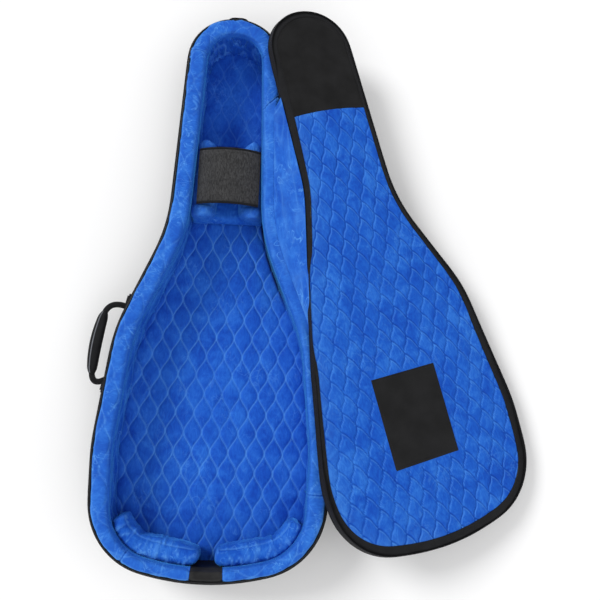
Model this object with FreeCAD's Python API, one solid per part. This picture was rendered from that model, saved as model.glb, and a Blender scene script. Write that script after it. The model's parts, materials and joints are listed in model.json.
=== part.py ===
"""Padded gig bag for an electric guitar, lying open on its back.

Frame, in millimetres: the origin is on the floor under the middle of the back panel, +Y runs
to the head end, +X to the hinge side and +Z up. The lid is drawn closed over the base and then
turned about the hinge line to lie open beside it. Every solid is one piece of the real bag.
"""
import FreeCAD, Part
import math
import os

from FreeCAD import Rotation, Vector

# ---------------------------------------------------------------- driving dimensions
# Outlines are straight runs joined by arcs: (x, y, radius) at each corner, head to tail.
BASE_SIDE = [
    (95.0, 588.0, 96.0),       # head corner
    (116.0, 118.0, 343.0),     # waist, where the neck widens into the body
    (208.0, -101.0, 342.0),    # shoulder
    (234.0, -331.0, 339.0),    # hip
    (227.0, -544.0, 140.0),    # tail corner
]
BASE_TAIL = (0.0, -594.0, 480.0)
LID_HINGE_SIDE = [
    (93.0, 585.0, 92.0),
    (103.0, 190.0, 300.0),
    (148.0, 12.0, 250.0),
    (189.0, -160.0, 900.0),
    (236.0, -395.0, 200.0),
    (226.0, -541.0, 138.0),
]
LID_ZIP_SIDE = [
    (93.0, 585.0, 92.0),
    (98.0, 140.0, 320.0),
    (198.0, -80.0, 300.0),
    (233.0, -335.0, 339.0),
    (226.0, -541.0, 138.0),
]
LID_TAIL = (0.0, -588.0, 480.0)
POCKET = [
    (104.0, -40.0, 45.0),
    (148.0, -330.0, 70.0),
    (136.0, -500.0, 60.0),
    (-165.0, -500.0, 60.0),
    (-187.0, -350.0, 70.0),
    (-118.0, -40.0, 45.0),
]

HINGE_X0 = 162.5               # where the hinge line crosses Y = 0
HINGE_SKEW = 9.03              # degrees between the hinge line and Y
HINGE_Z = 141.0

SKIN = 2.0                     # outer fabric with its backing
SKIN_INSET = 0.6
SLIT = 0.3                     # gap between neighbouring pieces
BACK_FOAM = 16.0
FLOOR_PAD = 7.6
WALL_TOP = 114.0               # top of the outer wall
RIM_TOP = 126.0                # crown of the padded rim
RIM_WIDTH = 37.0
TAIL_RIM_WIDTH = 25.0
WALL_FOAM_WIDTH = 26.0
RIM_ROUND = 10.0

LID_GAP = 0.6                  # closed lid above the padded rim
LID_THICK = 28.0
LID_ROUND = 12.0
LID_BAND = 15.0                # width of the black edge band round the lining
LID_LINING = 9.0
LID_ZIP_Z = (HINGE_Z - 2.0, HINGE_Z + 1.2)
LID_ZIP_DEPTH = 1.2
POCKET_DEPTH = 24.0
POCKET_ROUND = 4.0
POCKET_PANEL = 5.0
POCKET_WALL = 3.0
POCKET_WALL_INSET = 0.5
POCKET_ZIP_HALF = 95.0
POCKET_TAPE = (1.2, 10.0)      # thickness and height of the pocket's zip tape
POCKET_TEETH = (1.2, 4.0)
POCKET_SLIDER_X = 82.0
POCKET_SLIDER = (14.0, 4.0, 8.0)
POCKET_PULL_LENGTH = 24.0

BUMPER_TOP = 104.0
BUMPER_WIDTH = 24.0            # how far the tail bumpers stand out of the side walls
BUMPER_TAIL_WIDTH = 34.0       # and out of the tail wall
BUMPER_ROUND = 9.0
BUMPER_END_Y = -462.0
BUMPER_GAP = (-10.0, 13.0)     # between the two bumpers, at the strap button
CRADLE_Y = (144.0, 320.0)
CRADLE_TOP = 97.0
CRADLE_ROUND = 6.0
CHANNEL_WIDTH = 60.0
CHANNEL_FLOOR = 55.0
STRAP_Y = (171.0, 293.0)
STRAP_HALF = 66.0
STRAP_END_Z = 99.2
STRAP_CROWN_Z = 119.0
STRAP_THICK = 3.6
STRAP_BINDING = 5.0
TAPE_X = (44.0, 62.0)          # hook tape, and the sewn end on the other side
TAPE_THICK = 1.2

WEB_OFFSET = 0.4               # cloth web over the hinge, clear of the base and of the lid
WEB_THICK = 3.2
WEB_REACH = 150.0
WEB_SKIRT = 4.0                # how far the base's half hangs down its wall
WEB_CLEAR_Z = 0.8
WEB_BASE_Y = (34.0, 330.0)
WEB_LID_Y = (-110.0, 380.0)
WEB_BASE_GAP = 0.4             # from the hinge line to each half
WEB_LID_GAP = 1.8

PIPING = 3.0
PATCH_SIZE = (148.0, 186.0)    # bridge patch on the lid lining
PATCH_CENTRE = (4.0, -312.0)
PATCH_THICK = 1.2
PATCH_ROUND = 6.0
HEAD_PANEL_Y = 355.5           # crown of the smooth panel's edge in the lid's head end
HEAD_PANEL_ARC = (200.0, 31.5)  # half-width of that edge's arc, and its rise

HANDLE_Z = 65.0
HANDLE_UPPER = (-194.0, -34.0)
HANDLE_LOWER = (-232.0, -214.0)
HANDLE_ROUTE = [(-238.0, -70.0), (-257.0, -130.0), (-250.0, -190.0)]
GRIP_WIDTH = 28.0
GRIP_THICK = 17.0
WEBBING_WIDTH = 11.0
WEBBING_THICK = 5.0
HANDLE_PIN_R = 3.0
CHAPE_HALF = 9.0               # half-length of each sewn anchor along the handle's pin
CHAPE_X = (-22.0, 6.0)         # the anchor's depth, from inside the wall to past the pin
CHAPE_HEIGHT = 12.0
PIN_OVERHANG = 5.0             # how far the handle's pin stands out of the anchor

RING_Y = -430.0                # D-rings for the shoulder straps
RING_Z = 44.0
RING_WIRE_R = 2.2
RING_HALF = 13.0
RING_DROP = 17.55              # from the straight bar to the lowest point of the bow
RING_WALL_X = 233.0            # the side wall beside the rings
RING_OFFSET = 6.0
TAB_HALF = 8.0
TAB_RISE = 16.0
TAB_WALL = 4.2
RUNNING_GAP = 0.4

LOOP_Z = 60.0                  # hang loop at the head end
LOOP_HALF = 28.0
LOOP_DEPTH = 30.0
LOOP_HEIGHT = 25.0
LOOP_ROUND = 18.0
LOOP_BAND = (4.5, 3.4, 4.6)    # webbing thickness at the sides, the wall and the far end

ZIP_Z = (103.0, 111.0)
ZIP_OPEN_Y = (-30.0, 372.0)    # the hinge side, which the zip leaves out
UPPER_SLIDER_Y = 392.0
LOWER_SLIDER_Y = -165.0
SLIDER_OUT = (2.0, 6.0)        # near and far face of a main slider, from the outline
SLIDER_LENGTH = 16.0
SLIDER_HEIGHT = 8.0
EAR_WIDTH = 4.0
EAR_HEIGHT = 6.0
SLIDER_PIN_OUT = 9.0
PIN_R = 1.2
PIN_BORE_R = 1.5
PULL_LENGTH = 26.0
PULL_WIDTH = 8.4
PULL_THICK = 2.2
PULL_ARM = 1.6
PULL_ARM_X = 3.4
PULL_EYE = 6.0                 # length of the pull's eye past its pin

BIG = 2000.0

# ---------------------------------------------------------------- outlines and prisms


def mirrored(side, tail):
    """Whole outline from its +X half, clockwise seen from above."""
    return side + [tail] + [(-x, y, r) for x, y, r in reversed(side)]


def inset_corners(corners, widths):
    """Moves each side of an outline inwards by its width; one number moves them all alike."""
    count = len(corners)
    if not isinstance(widths, list):
        widths = [widths] * count
    points = [Vector(x, y, 0) for x, y, _ in corners]
    runs = [(points[(i + 1) % count] - points[i]).normalize() for i in range(count)]
    inward = [Vector(run.y, -run.x, 0) for run in runs]
    moved = []
    for i, (_, _, radius) in enumerate(corners):
        before, after = (i - 1) % count, i
        start = points[i] + inward[before] * widths[before]
        other = points[i] + inward[after] * widths[after]
        turn = runs[before].x * runs[after].y - runs[before].y * runs[after].x
        gap = other - start
        reach = (gap.x * runs[after].y - gap.y * runs[after].x) / turn
        corner = start + runs[before] * reach
        width = max(widths[before], widths[after])
        moved.append((corner.x, corner.y, radius - width if turn < 0 else radius + width))
    return moved


def outline_face(corners, z):
    """Face at height z inside an outline of straight runs and corner arcs."""
    count = len(corners)
    edges = []
    ends = []
    for i, (x, y, radius) in enumerate(corners):
        corner = Vector(x, y, z)
        last = Vector(corners[i - 1][0], corners[i - 1][1], z)
        following = Vector(corners[(i + 1) % count][0], corners[(i + 1) % count][1], z)
        back = (last - corner).normalize()
        ahead = (following - corner).normalize()
        half = back.getAngle(ahead) / 2
        reach = radius / math.tan(half)
        middle = (back + ahead).normalize()
        centre = corner + middle * (radius / math.sin(half))
        ends.append((corner + back * reach, centre - middle * radius, corner + ahead * reach))
    for i, (start, middle, end) in enumerate(ends):
        edges.append(Part.Arc(start, middle, end).toShape())
        following = ends[(i + 1) % count][0]
        if (following - end).Length > 1e-6:
            edges.append(Part.LineSegment(end, following).toShape())
    return Part.Face(Part.Wire(edges))


def prism(corners, z_low, z_high):
    return outline_face(corners, z_low).extrude(Vector(0, 0, z_high - z_low))


def ring(corners, outer, inner, z_low, z_high):
    """Upright band between two insets of an outline."""
    whole = prism(inset_corners(corners, outer), z_low, z_high)
    return whole.cut(prism(inset_corners(corners, inner), z_low - 1, z_high + 1))


def span(middle, size):
    return middle - size / 2, middle + size / 2


def box(x_span, y_span, z_span):
    size = [high - low for low, high in (x_span, y_span, z_span)]
    return Part.makeBox(*size, Vector(x_span[0], y_span[0], z_span[0]))


def soften(solid, radius, heights):
    """Rounds the level edges that lie at the given heights."""
    level = []
    for edge in solid.Edges:
        bounds = edge.BoundBox
        for height in heights:
            if abs(bounds.ZMin - height) < 1e-4 and abs(bounds.ZMax - height) < 1e-4:
                level.append(edge)
    return solid.makeFillet(radius, level)


def one_solid(shape):
    """The largest solid of a boolean result."""
    return max(shape.Solids, key=lambda solid: solid.Volume)


def along(start, end, radius):
    run = end - start
    return Part.makeCylinder(radius, run.Length, start, run)


BASE = mirrored(BASE_SIDE, BASE_TAIL)
LID = LID_HINGE_SIDE + [LID_TAIL] + [(-x, y, r) for x, y, r in reversed(LID_ZIP_SIDE)]
TAIL_SIDES = (4, 5)            # the two sides of BASE that meet at the tail


def rim_widths(extra=0.0, tail_extra=None):
    """Inset of the rim's inner face, which is narrower along the tail."""
    tail = TAIL_RIM_WIDTH + (extra if tail_extra is None else tail_extra)
    return [tail if i in TAIL_SIDES else RIM_WIDTH + extra for i in range(len(BASE))]


# ---------------------------------------------------------------- hinge line and lid angle
skew = math.radians(HINGE_SKEW)
HINGE_DIR = Vector(-math.sin(skew), math.cos(skew), 0)
HINGE_OUT = Vector(math.cos(skew), math.sin(skew), 0)
HINGE_POINT = Vector(HINGE_X0, 0, HINGE_Z)


LID_BOTTOM = RIM_TOP + LID_GAP
LID_TOP = LID_BOTTOM + LID_THICK
POCKET_TOP = LID_TOP + POCKET_DEPTH
# The open lid rests on the round far edge of its pocket, a little clear of the floor.
pocket_plan = outline_face(POCKET, 0)
pocket_plan.rotate(Vector(0, 0, 0), Vector(0, 0, 1), -HINGE_SKEW)
pocket_far = HINGE_POINT.dot(HINGE_OUT) - pocket_plan.BoundBox.XMin - POCKET_ROUND
pocket_rise = POCKET_TOP - POCKET_ROUND - HINGE_Z
rest_height = HINGE_Z - POCKET_ROUND - 0.2
LID_TILT = math.degrees(
    math.asin(rest_height / math.hypot(pocket_far, pocket_rise))
    - math.atan2(pocket_rise, pocket_far)
)
LID_SWING = 180.0 + LID_TILT


def opened(shape):
    """Turns a closed-lid shape about the hinge line to lie open on its pocket."""
    copy = shape.copy()
    copy.rotate(HINGE_POINT, HINGE_DIR, LID_SWING)
    return copy


def relieved(shape):
    """Takes off what would stand in the open lid: its weight presses the soft rim down there."""
    wedge = Part.makeBox(BIG / 4, BIG, BIG / 8, Vector(0, -BIG / 2, 0))
    wedge.rotate(Vector(0, 0, 0), Vector(0, 1, 0), LID_TILT)
    wedge.rotate(Vector(0, 0, 0), Vector(0, 0, 1), HINGE_SKEW)
    wedge.translate(Vector(HINGE_X0, 0, RIM_TOP + 0.1))
    return shape.cut(wedge)


nodes = {}

# ---------------------------------------------------------------- base: shell and padding
back_top = SKIN + 1.0
foam_bottom = back_top + SLIT
foam_top = foam_bottom + BACK_FOAM
floor_bottom = foam_top + SLIT
floor_top = floor_bottom + FLOOR_PAD
skin_inner = SKIN_INSET + SKIN
foam_outer = skin_inner + 0.2
foam_inner = [width - (RIM_WIDTH - WALL_FOAM_WIDTH - 2) for width in rim_widths()]

nodes["back_panel"] = prism(inset_corners(BASE, SKIN_INSET), 0, back_top)
nodes["back_foam"] = prism(inset_corners(BASE, foam_outer), foam_bottom, foam_top)
nodes["side_wall"] = ring(BASE, SKIN_INSET, skin_inner, foam_bottom, WALL_TOP)
nodes["wall_foam"] = ring(BASE, foam_outer, foam_inner, floor_bottom, WALL_TOP - 0.2)
nodes["back_piping"] = ring(BASE, -1.6, SKIN_INSET - 0.2, 0.4, 4.4)
nodes["base_piping"] = relieved(ring(BASE, 0.2, 3.4, WALL_TOP + 0.2, WALL_TOP + 4.2))

hinge_gap = box((0, BIG), ZIP_OPEN_Y, (0, BIG))
zip_tape = ring(BASE, -0.5, SKIN_INSET - 0.1, *ZIP_Z)
zip_teeth = ring(BASE, -1.6, -0.3, ZIP_Z[1] - 3, ZIP_Z[1] - 0.4)
zip_halves = [one_solid(half.cut(hinge_gap)) for half in (zip_tape, zip_teeth)]
nodes["base_zip"] = one_solid(zip_halves[0].fuse(zip_halves[1]))

cavity = inset_corners(BASE, rim_widths(SLIT))
floor_pad = prism(cavity, floor_bottom, floor_top)
head_split = 330.0
nodes["floor_lining"] = floor_pad.common(box((-BIG, BIG), (-BIG, head_split), (0, BIG)))
nodes["head_floor_pad"] = floor_pad.common(box((-BIG, BIG), (head_split + SLIT, BIG), (0, BIG)))

# The wall lining rolls over the foam; its top edges are round.
rim = prism(inset_corners(BASE, 3.6), floor_bottom, RIM_TOP)
rim = rim.cut(prism(inset_corners(BASE, rim_widths()), 0, BIG / 10))
rim = soften(rim, RIM_ROUND, [RIM_TOP])
lining_core = ring(BASE, 0, [width + 0.2 for width in foam_inner], 0, WALL_TOP)
rim = relieved(rim.cut(lining_core))

HEAD_SEAM_Y = 505.0
UPPER_SEAM_Y = 400.0
LOWER_SEAM_Y = -412.0
TAIL_SEAM_X = -153.0
SHIELD_X = (-28.0, 36.0)
ALL = (-BIG, BIG)
sectors = {
    "wall_lining_head": (ALL, (HEAD_SEAM_Y + SLIT, BIG)),
    "wall_lining_right_upper": ((0, BIG), (UPPER_SEAM_Y + SLIT, HEAD_SEAM_Y)),
    "wall_lining_right": ((0, BIG), (LOWER_SEAM_Y + SLIT, UPPER_SEAM_Y)),
    "wall_lining_tail_right": ((SHIELD_X[1] + SLIT, BIG), (-BIG, LOWER_SEAM_Y)),
    "endpin_shield": (SHIELD_X, (-BIG, LOWER_SEAM_Y)),
    "wall_lining_tail_left": ((TAIL_SEAM_X, SHIELD_X[0] - SLIT), (-BIG, 0)),
    "wall_lining_left": ((-BIG, TAIL_SEAM_X - SLIT), (-BIG, LOWER_SEAM_Y)),
}
for name, (x_span, y_span) in sectors.items():
    nodes[name] = one_solid(rim.common(box(x_span, y_span, (0, BIG))))
left_side = rim.common(box((-BIG, 0), (LOWER_SEAM_Y, HEAD_SEAM_Y), (0, BIG)))
nodes["wall_lining_left"] = one_solid(nodes["wall_lining_left"].fuse(left_side))

# ---------------------------------------------------------------- base: pads that hold the guitar
bumper_ring = prism(inset_corners(BASE, rim_widths(SLIT)), floor_top + SLIT, BUMPER_TOP)
bumper_inner = inset_corners(BASE, rim_widths(BUMPER_WIDTH, BUMPER_TAIL_WIDTH))
bumper_ring = bumper_ring.cut(prism(bumper_inner, 0, BIG / 10))
bumper_ring = soften(bumper_ring, BUMPER_ROUND, [BUMPER_TOP])
tail_end = (-BIG, BUMPER_END_Y)
for side, x_span in (("left", (-BIG, BUMPER_GAP[0])), ("right", (BUMPER_GAP[1], BIG))):
    nodes["bumper_" + side] = one_solid(bumper_ring.common(box(x_span, tail_end, (0, BIG))))

cradle = prism(cavity, floor_top + SLIT, CRADLE_TOP).common(box(ALL, CRADLE_Y, (0, BIG)))
cradle = cradle.cut(box(span(0, CHANNEL_WIDTH), ALL, (CHANNEL_FLOOR, BIG)))
nodes["neck_cradle"] = soften(one_solid(cradle), CRADLE_ROUND, [CRADLE_TOP])
tape_low = CRADLE_TOP + 0.2
tape_z = (tape_low, tape_low + TAPE_THICK)
nodes["strap_anchor"] = box((-TAPE_X[1], -TAPE_X[0]), STRAP_Y, tape_z)
nodes["strap_hook_patch"] = box(TAPE_X, STRAP_Y, tape_z)

# ---------------------------------------------------------------- neck strap


def arched(y_low, y_high):
    """Slice of the strap, which is an arch seen along Y."""
    lift = Vector(0, 0, STRAP_THICK)
    left = Vector(-STRAP_HALF, y_low, STRAP_END_Z)
    crown = Vector(0, y_low, STRAP_CROWN_Z)
    right = Vector(STRAP_HALF, y_low, STRAP_END_Z)
    edges = [
        Part.Arc(left, crown, right).toShape(),
        Part.LineSegment(right, right + lift).toShape(),
        Part.Arc(right + lift, crown + lift, left + lift).toShape(),
        Part.LineSegment(left + lift, left).toShape(),
    ]
    return Part.Face(Part.Wire(edges)).extrude(Vector(0, y_high - y_low, 0))


lower_seam = STRAP_Y[0] + STRAP_BINDING
upper_seam = STRAP_Y[1] - STRAP_BINDING
nodes["neck_strap"] = arched(lower_seam + 0.2, upper_seam - 0.2)
nodes["strap_binding_lower"] = arched(STRAP_Y[0], lower_seam)
nodes["strap_binding_upper"] = arched(upper_seam, STRAP_Y[1])

# ---------------------------------------------------------------- hinge web


def beside_hinge(clear, y_span, z_low, z_high):
    """Slab on the base's side of the hinge line and clear of it, to be cut to the web's shape."""
    corner = Vector(-WEB_REACH - clear, -BIG / 2, z_low)
    slab = Part.makeBox(WEB_REACH, BIG, z_high - z_low, corner)
    slab.rotate(Vector(0, 0, 0), Vector(0, 0, 1), HINGE_SKEW)
    slab.translate(Vector(HINGE_X0, 0, 0))
    return slab.common(box(ALL, y_span, (0, BIG)))


def grown(corners, width):
    """Tall block of an outline let out by a width."""
    return prism(inset_corners(corners, -width), 0, BIG / 10)


web_low = WALL_TOP - WEB_SKIRT
web_high = HINGE_Z - WEB_CLEAR_Z
base_web = beside_hinge(WEB_BASE_GAP, WEB_BASE_Y, web_low, web_high).cut(grown(BASE, WEB_OFFSET))
under_web = beside_hinge(0, ALL, web_low - 1, web_high - WEB_THICK)
under_web = under_web.cut(grown(BASE, WEB_OFFSET + WEB_THICK))
nodes["hinge_web_base"] = one_solid(base_web.cut(under_web))
lid_web_low = HINGE_Z + WEB_CLEAR_Z
lid_web = beside_hinge(WEB_LID_GAP, WEB_LID_Y, lid_web_low, lid_web_low + WEB_THICK)
nodes["hinge_web_lid"] = opened(one_solid(lid_web.cut(grown(LID, WEB_OFFSET))))

# ---------------------------------------------------------------- lid
core_low = LID_BOTTOM + SKIN
core_high = LID_TOP - SKIN
lining_top = LID_BOTTOM + LID_LINING
piping_in = LID_BAND - 0.2
piping_out = piping_in - PIPING
band_in = piping_out - 0.2     # inner edge of the black band's cloth

shell = soften(prism(LID, LID_BOTTOM, LID_TOP), LID_ROUND, [LID_BOTTOM, LID_TOP])
core = prism(inset_corners(LID, SKIN), core_low, core_high)
core = soften(core, LID_ROUND - SKIN, [core_low, core_high])
zip_slot = ring(LID, -0.1, LID_ZIP_DEPTH + 0.2, LID_ZIP_Z[0] - 0.2, LID_ZIP_Z[1] + 0.2)
gusset = shell.cut(core).cut(prism(inset_corners(LID, band_in), 0, BIG / 5))

foam = core.cut(prism(inset_corners(LID, piping_in), 0, lining_top + 0.2))
foam = foam.common(prism(inset_corners(LID, SKIN + 0.2), core_low + 0.2, core_high - 0.2))
for groove_z in ((0, LID_BOTTOM + PIPING + 0.2), (LID_TOP - PIPING - 0.2, BIG)):
    foam = foam.cut(ring(LID, band_in, LID_BAND, *groove_z))

lining = prism(inset_corners(LID, LID_BAND), LID_BOTTOM, lining_top)


def headward(shift):
    """Everything on the head side of the smooth panel's arched edge."""
    half, rise = HEAD_PANEL_ARC
    crown = Vector(0, HEAD_PANEL_Y + shift, 0)
    left = crown + Vector(-half, -rise, 0)
    right = crown + Vector(half, -rise, 0)
    sides = Part.makePolygon([right, Vector(half, BIG, 0), Vector(-half, BIG, 0), left])
    edge = Part.Arc(left, crown, right).toShape()
    return Part.Face(Part.Wire([edge] + sides.Edges)).extrude(Vector(0, 0, BIG / 5))


lid_piping = (piping_out, piping_in)
lid_parts = {
    "lid_gusset": one_solid(gusset.cut(zip_slot)),
    "lid_outer_panel": prism(inset_corners(LID, LID_BAND), core_high, LID_TOP),
    "lid_foam": one_solid(foam),
    "lid_head_panel": one_solid(lining.common(headward(0))),
    "lid_lining": one_solid(lining.cut(headward(-SLIT))),
    "lid_piping_inner": ring(LID, *lid_piping, LID_BOTTOM, LID_BOTTOM + PIPING),
    "lid_piping_outer": ring(LID, *lid_piping, LID_TOP - PIPING, LID_TOP),
    "lid_zip": one_solid(ring(LID, 0, LID_ZIP_DEPTH, *LID_ZIP_Z).cut(hinge_gap)),
}

patch_top = LID_BOTTOM - 0.1
patch_x = span(PATCH_CENTRE[0], PATCH_SIZE[0])
patch_y = span(PATCH_CENTRE[1], PATCH_SIZE[1])
patch = box(patch_x, patch_y, (patch_top - PATCH_THICK, patch_top))
upright = [edge for edge in patch.Edges if edge.BoundBox.ZLength > PATCH_THICK / 2]
lid_parts["bridge_patch"] = patch.makeFillet(PATCH_ROUND, upright)

# ---------------------------------------------------------------- outer pocket
pocket_low = LID_TOP + 0.2
pocket_split = POCKET_TOP - POCKET_PANEL
pocket_y = POCKET[0][1]        # the pocket's zipped edge
zip_mid_z = (pocket_low + pocket_split) / 2
tape_y = (pocket_y - POCKET_WALL_INSET - POCKET_TAPE[0], pocket_y - POCKET_WALL_INSET)
teeth_y = (tape_y[1], tape_y[1] + POCKET_TEETH[0])
zip_x = span(0, 2 * POCKET_ZIP_HALF)

pocket_cover = prism(POCKET, pocket_split, POCKET_TOP)
lid_parts["pocket_panel"] = soften(pocket_cover, POCKET_ROUND, [POCKET_TOP])
wall_insets = (POCKET_WALL_INSET, POCKET_WALL_INSET + POCKET_WALL)
pocket_wall = ring(POCKET, *wall_insets, pocket_low, pocket_split - 0.2)
slot_x = span(0, 2 * POCKET_ZIP_HALF + 0.4)
slot_z = span(zip_mid_z, POCKET_TAPE[1] + 0.4)
lid_parts["pocket_gusset"] = one_solid(pocket_wall.cut(box(slot_x, (tape_y[0] - 0.2, BIG), slot_z)))
pocket_tape = box(zip_x, tape_y, span(zip_mid_z, POCKET_TAPE[1]))
pocket_teeth = box(zip_x, teeth_y, span(zip_mid_z, POCKET_TEETH[1]))
lid_parts["pocket_zip"] = pocket_tape.fuse(pocket_teeth).removeSplitter()


def pull_tab(pin_at, length):
    """Flat pull, drawn lying along +Y from its pin, which runs along X through the slider's ear."""
    x, y, z = pin_at
    thick = span(z, PULL_THICK)
    pin_start = pin_at - Vector(PULL_ARM_X, 0, 0)
    pin = Part.makeCylinder(PIN_R, 2 * PULL_ARM_X, pin_start, Vector(1, 0, 0))
    arm_y = (y - PIN_R, y + PULL_EYE)
    arms = [box(span(x + side, PULL_ARM), arm_y, thick) for side in (-PULL_ARM_X, PULL_ARM_X)]
    tab = box(span(x, PULL_WIDTH), (y + PULL_EYE - 1, y + length), thick)
    return one_solid(pin.fuse(arms + [tab])).removeSplitter()


block_y = (teeth_y[1] + 0.5, teeth_y[1] + 0.5 + POCKET_SLIDER[1])
pocket_pin = Vector(POCKET_SLIDER_X, block_y[1] + 2.5, zip_mid_z)
pocket_block = box(
    span(POCKET_SLIDER_X, POCKET_SLIDER[0]), block_y, span(zip_mid_z, POCKET_SLIDER[2])
)
pocket_ear = box(
    span(POCKET_SLIDER_X, EAR_WIDTH), (block_y[1], pocket_pin.y + 3), span(zip_mid_z, EAR_HEIGHT)
)
pocket_reach = Vector(EAR_WIDTH, 0, 0)
pocket_bore = along(pocket_pin - pocket_reach, pocket_pin + pocket_reach, PIN_BORE_R)
lid_parts["pocket_slider"] = pocket_block.fuse(pocket_ear).cut(pocket_bore).removeSplitter()
lid_parts["pocket_pull"] = pull_tab(pocket_pin, POCKET_PULL_LENGTH)
for name, shape in lid_parts.items():
    nodes[name] = opened(shape)

# ---------------------------------------------------------------- main zip sliders and pulls
pins = {"pocket": opened(Part.Vertex(pocket_pin)).Point}


def zip_slider(name, above, below, y):
    """Slider outside the teeth, on the run between two corners, and its pull hanging down."""
    start = Vector(above[0], above[1], 0)
    run = (Vector(below[0], below[1], 0) - start).normalize()
    at = start + run * ((y - start.y) / run.y)
    turn = Rotation(Vector(0, 0, 1), math.degrees(math.atan2(run.x, -run.y)))
    z_mid = ZIP_Z[1] - 2.0
    pin = Vector(SLIDER_PIN_OUT, 0, z_mid - 0.5)
    block = box(SLIDER_OUT, span(0, SLIDER_LENGTH), span(z_mid, SLIDER_HEIGHT))
    ear_x = (SLIDER_OUT[1] - 1, SLIDER_PIN_OUT + 2.5)
    ear = box(ear_x, span(0, EAR_WIDTH), span(pin.z, EAR_HEIGHT))
    reach = Vector(0, EAR_WIDTH, 0)
    body = block.fuse(ear).cut(along(pin - reach, pin + reach, PIN_BORE_R)).removeSplitter()
    tab = pull_tab(Vector(0, 0, 0), PULL_LENGTH)
    tab.rotate(Vector(0, 0, 0), Vector(0, 0, 1), 90)      # pin along Y, tab towards -X
    tab.rotate(Vector(0, 0, 0), Vector(0, 1, 0), -90)     # tab hangs down
    tab.translate(pin)
    for kind, shape in (("zip_slider_", body), ("zip_pull_", tab)):
        shape.rotate(Vector(0, 0, 0), turn.Axis, math.degrees(turn.Angle))
        shape.translate(at)
        nodes[kind + name] = shape
    pins[name] = turn.multVec(pin) + at


zip_slider("upper", BASE_SIDE[0], BASE_SIDE[1], UPPER_SLIDER_Y)
zip_slider("lower", BASE_SIDE[2], BASE_SIDE[3], LOWER_SLIDER_Y)

# ---------------------------------------------------------------- carry handle


def flat_profile(at, run, width, thick):
    """Rectangle across a band that runs level."""
    side = Vector(-run.y, run.x, 0).normalize() * (width / 2)
    up = Vector(0, 0, thick / 2)
    corners = [at + side + up, at - side + up, at - side - up, at + side - up]
    return Part.makePolygon(corners + corners[:1])


upper_pin = Vector(HANDLE_UPPER[0], HANDLE_UPPER[1], HANDLE_Z)
lower_pin = Vector(HANDLE_LOWER[0], HANDLE_LOWER[1], HANDLE_Z)
pin_dir = (upper_pin - lower_pin).normalize()
chape_turn = 180 + math.degrees(math.atan2(-pin_dir.x, pin_dir.y))
clear_of_wall = grown(BASE, 0.1)
handle_ends = {"upper": upper_pin, "lower": lower_pin}
for end, pin_centre in handle_ends.items():
    chape = box(CHAPE_X, span(0, 2 * CHAPE_HALF), span(0, CHAPE_HEIGHT))
    chape.rotate(Vector(0, 0, 0), Vector(0, 0, 1), chape_turn)
    chape.translate(pin_centre)
    reach = pin_dir * (2 * CHAPE_HALF)
    bore = along(pin_centre - reach, pin_centre + reach, HANDLE_PIN_R + RUNNING_GAP)
    nodes["handle_anchor_" + end] = one_solid(chape.cut(bore).cut(clear_of_wall))

route = [Vector(x, y, HANDLE_Z) for x, y in HANDLE_ROUTE]
grip_arc = Part.Arc(*route)
grip_start = grip_arc.tangent(grip_arc.FirstParameter)[0]
grip_profile = flat_profile(route[0], grip_start, GRIP_WIDTH, GRIP_THICK)
nodes["handle_grip"] = Part.Wire([grip_arc.toShape()]).makePipeShell([grip_profile], True, True)

pin_half = pin_dir * (CHAPE_HALF + PIN_OVERHANG)
for end, grip_end, inner_end in (("upper", route[0], pin_half * -1), ("lower", route[-1], pin_half)):
    pin_centre = handle_ends[end]
    start = pin_centre + inner_end
    pin = along(pin_centre - pin_half, pin_centre + pin_half, HANDLE_PIN_R)
    profile = flat_profile(start, grip_end - start, WEBBING_WIDTH, WEBBING_THICK)
    leg = Part.Face(profile).extrude(grip_end - start)
    nodes["handle_webbing_" + end] = one_solid(pin.fuse(leg).cut(nodes["handle_grip"]))

# ---------------------------------------------------------------- D-rings and hang loop


def d_ring(centre):
    """D-ring hanging against the wall: straight bar along Y, bow downwards."""
    half = Vector(0, RING_HALF, 0)
    bow = Part.Arc(centre + half, centre - Vector(0, 0, RING_DROP), centre - half)
    start_run = bow.tangent(bow.FirstParameter)[0]
    circle = Part.Wire([Part.makeCircle(RING_WIRE_R, centre + half, start_run)])
    tube = Part.Wire([bow.toShape()]).makePipeShell([circle], True, True)
    balls = [Part.makeSphere(RING_WIRE_R, centre + end) for end in (half, half * -1)]
    return one_solid(along(centre - half, centre + half, RING_WIRE_R).fuse([tube] + balls))


for name, sign in (("left", -1), ("right", 1)):
    centre = Vector(sign * (RING_WALL_X + RING_OFFSET), RING_Y, RING_Z)
    tab_x = sorted((sign * (RING_WALL_X - RING_OFFSET), centre.x + sign * TAB_WALL))
    tab = box(tab_x, span(RING_Y, 2 * TAB_HALF), (RING_Z - TAB_WALL, RING_Z + TAB_RISE))
    reach = Vector(0, 2 * TAB_HALF, 0)
    bore = along(centre - reach, centre + reach, RING_WIRE_R + RUNNING_GAP)
    nodes["ring_tab_" + name] = one_solid(tab.cut(bore).cut(clear_of_wall))
    nodes["d_ring_" + name] = d_ring(centre)


def loop_block(half, y_span, height, corner):
    """Upright block with its two far corners round."""
    block = box((-half, half), y_span, span(LOOP_Z, height))
    middle = sum(y_span) / 2
    far = [e for e in block.Edges if e.BoundBox.ZLength > height / 2 and e.BoundBox.YMin > middle]
    return block.makeFillet(corner, far)


loop_low = BASE_SIDE[0][1] + 0.2
loop_high = loop_low + LOOP_DEPTH
loop_inner_y = (loop_low + LOOP_BAND[1], loop_high - LOOP_BAND[2])
loop = loop_block(LOOP_HALF, (loop_low, loop_high), LOOP_HEIGHT, LOOP_ROUND)
hole = loop_block(LOOP_HALF - LOOP_BAND[0], loop_inner_y, 2 * LOOP_HEIGHT, LOOP_ROUND - 4)
nodes["hang_loop"] = loop.cut(hole)

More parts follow.
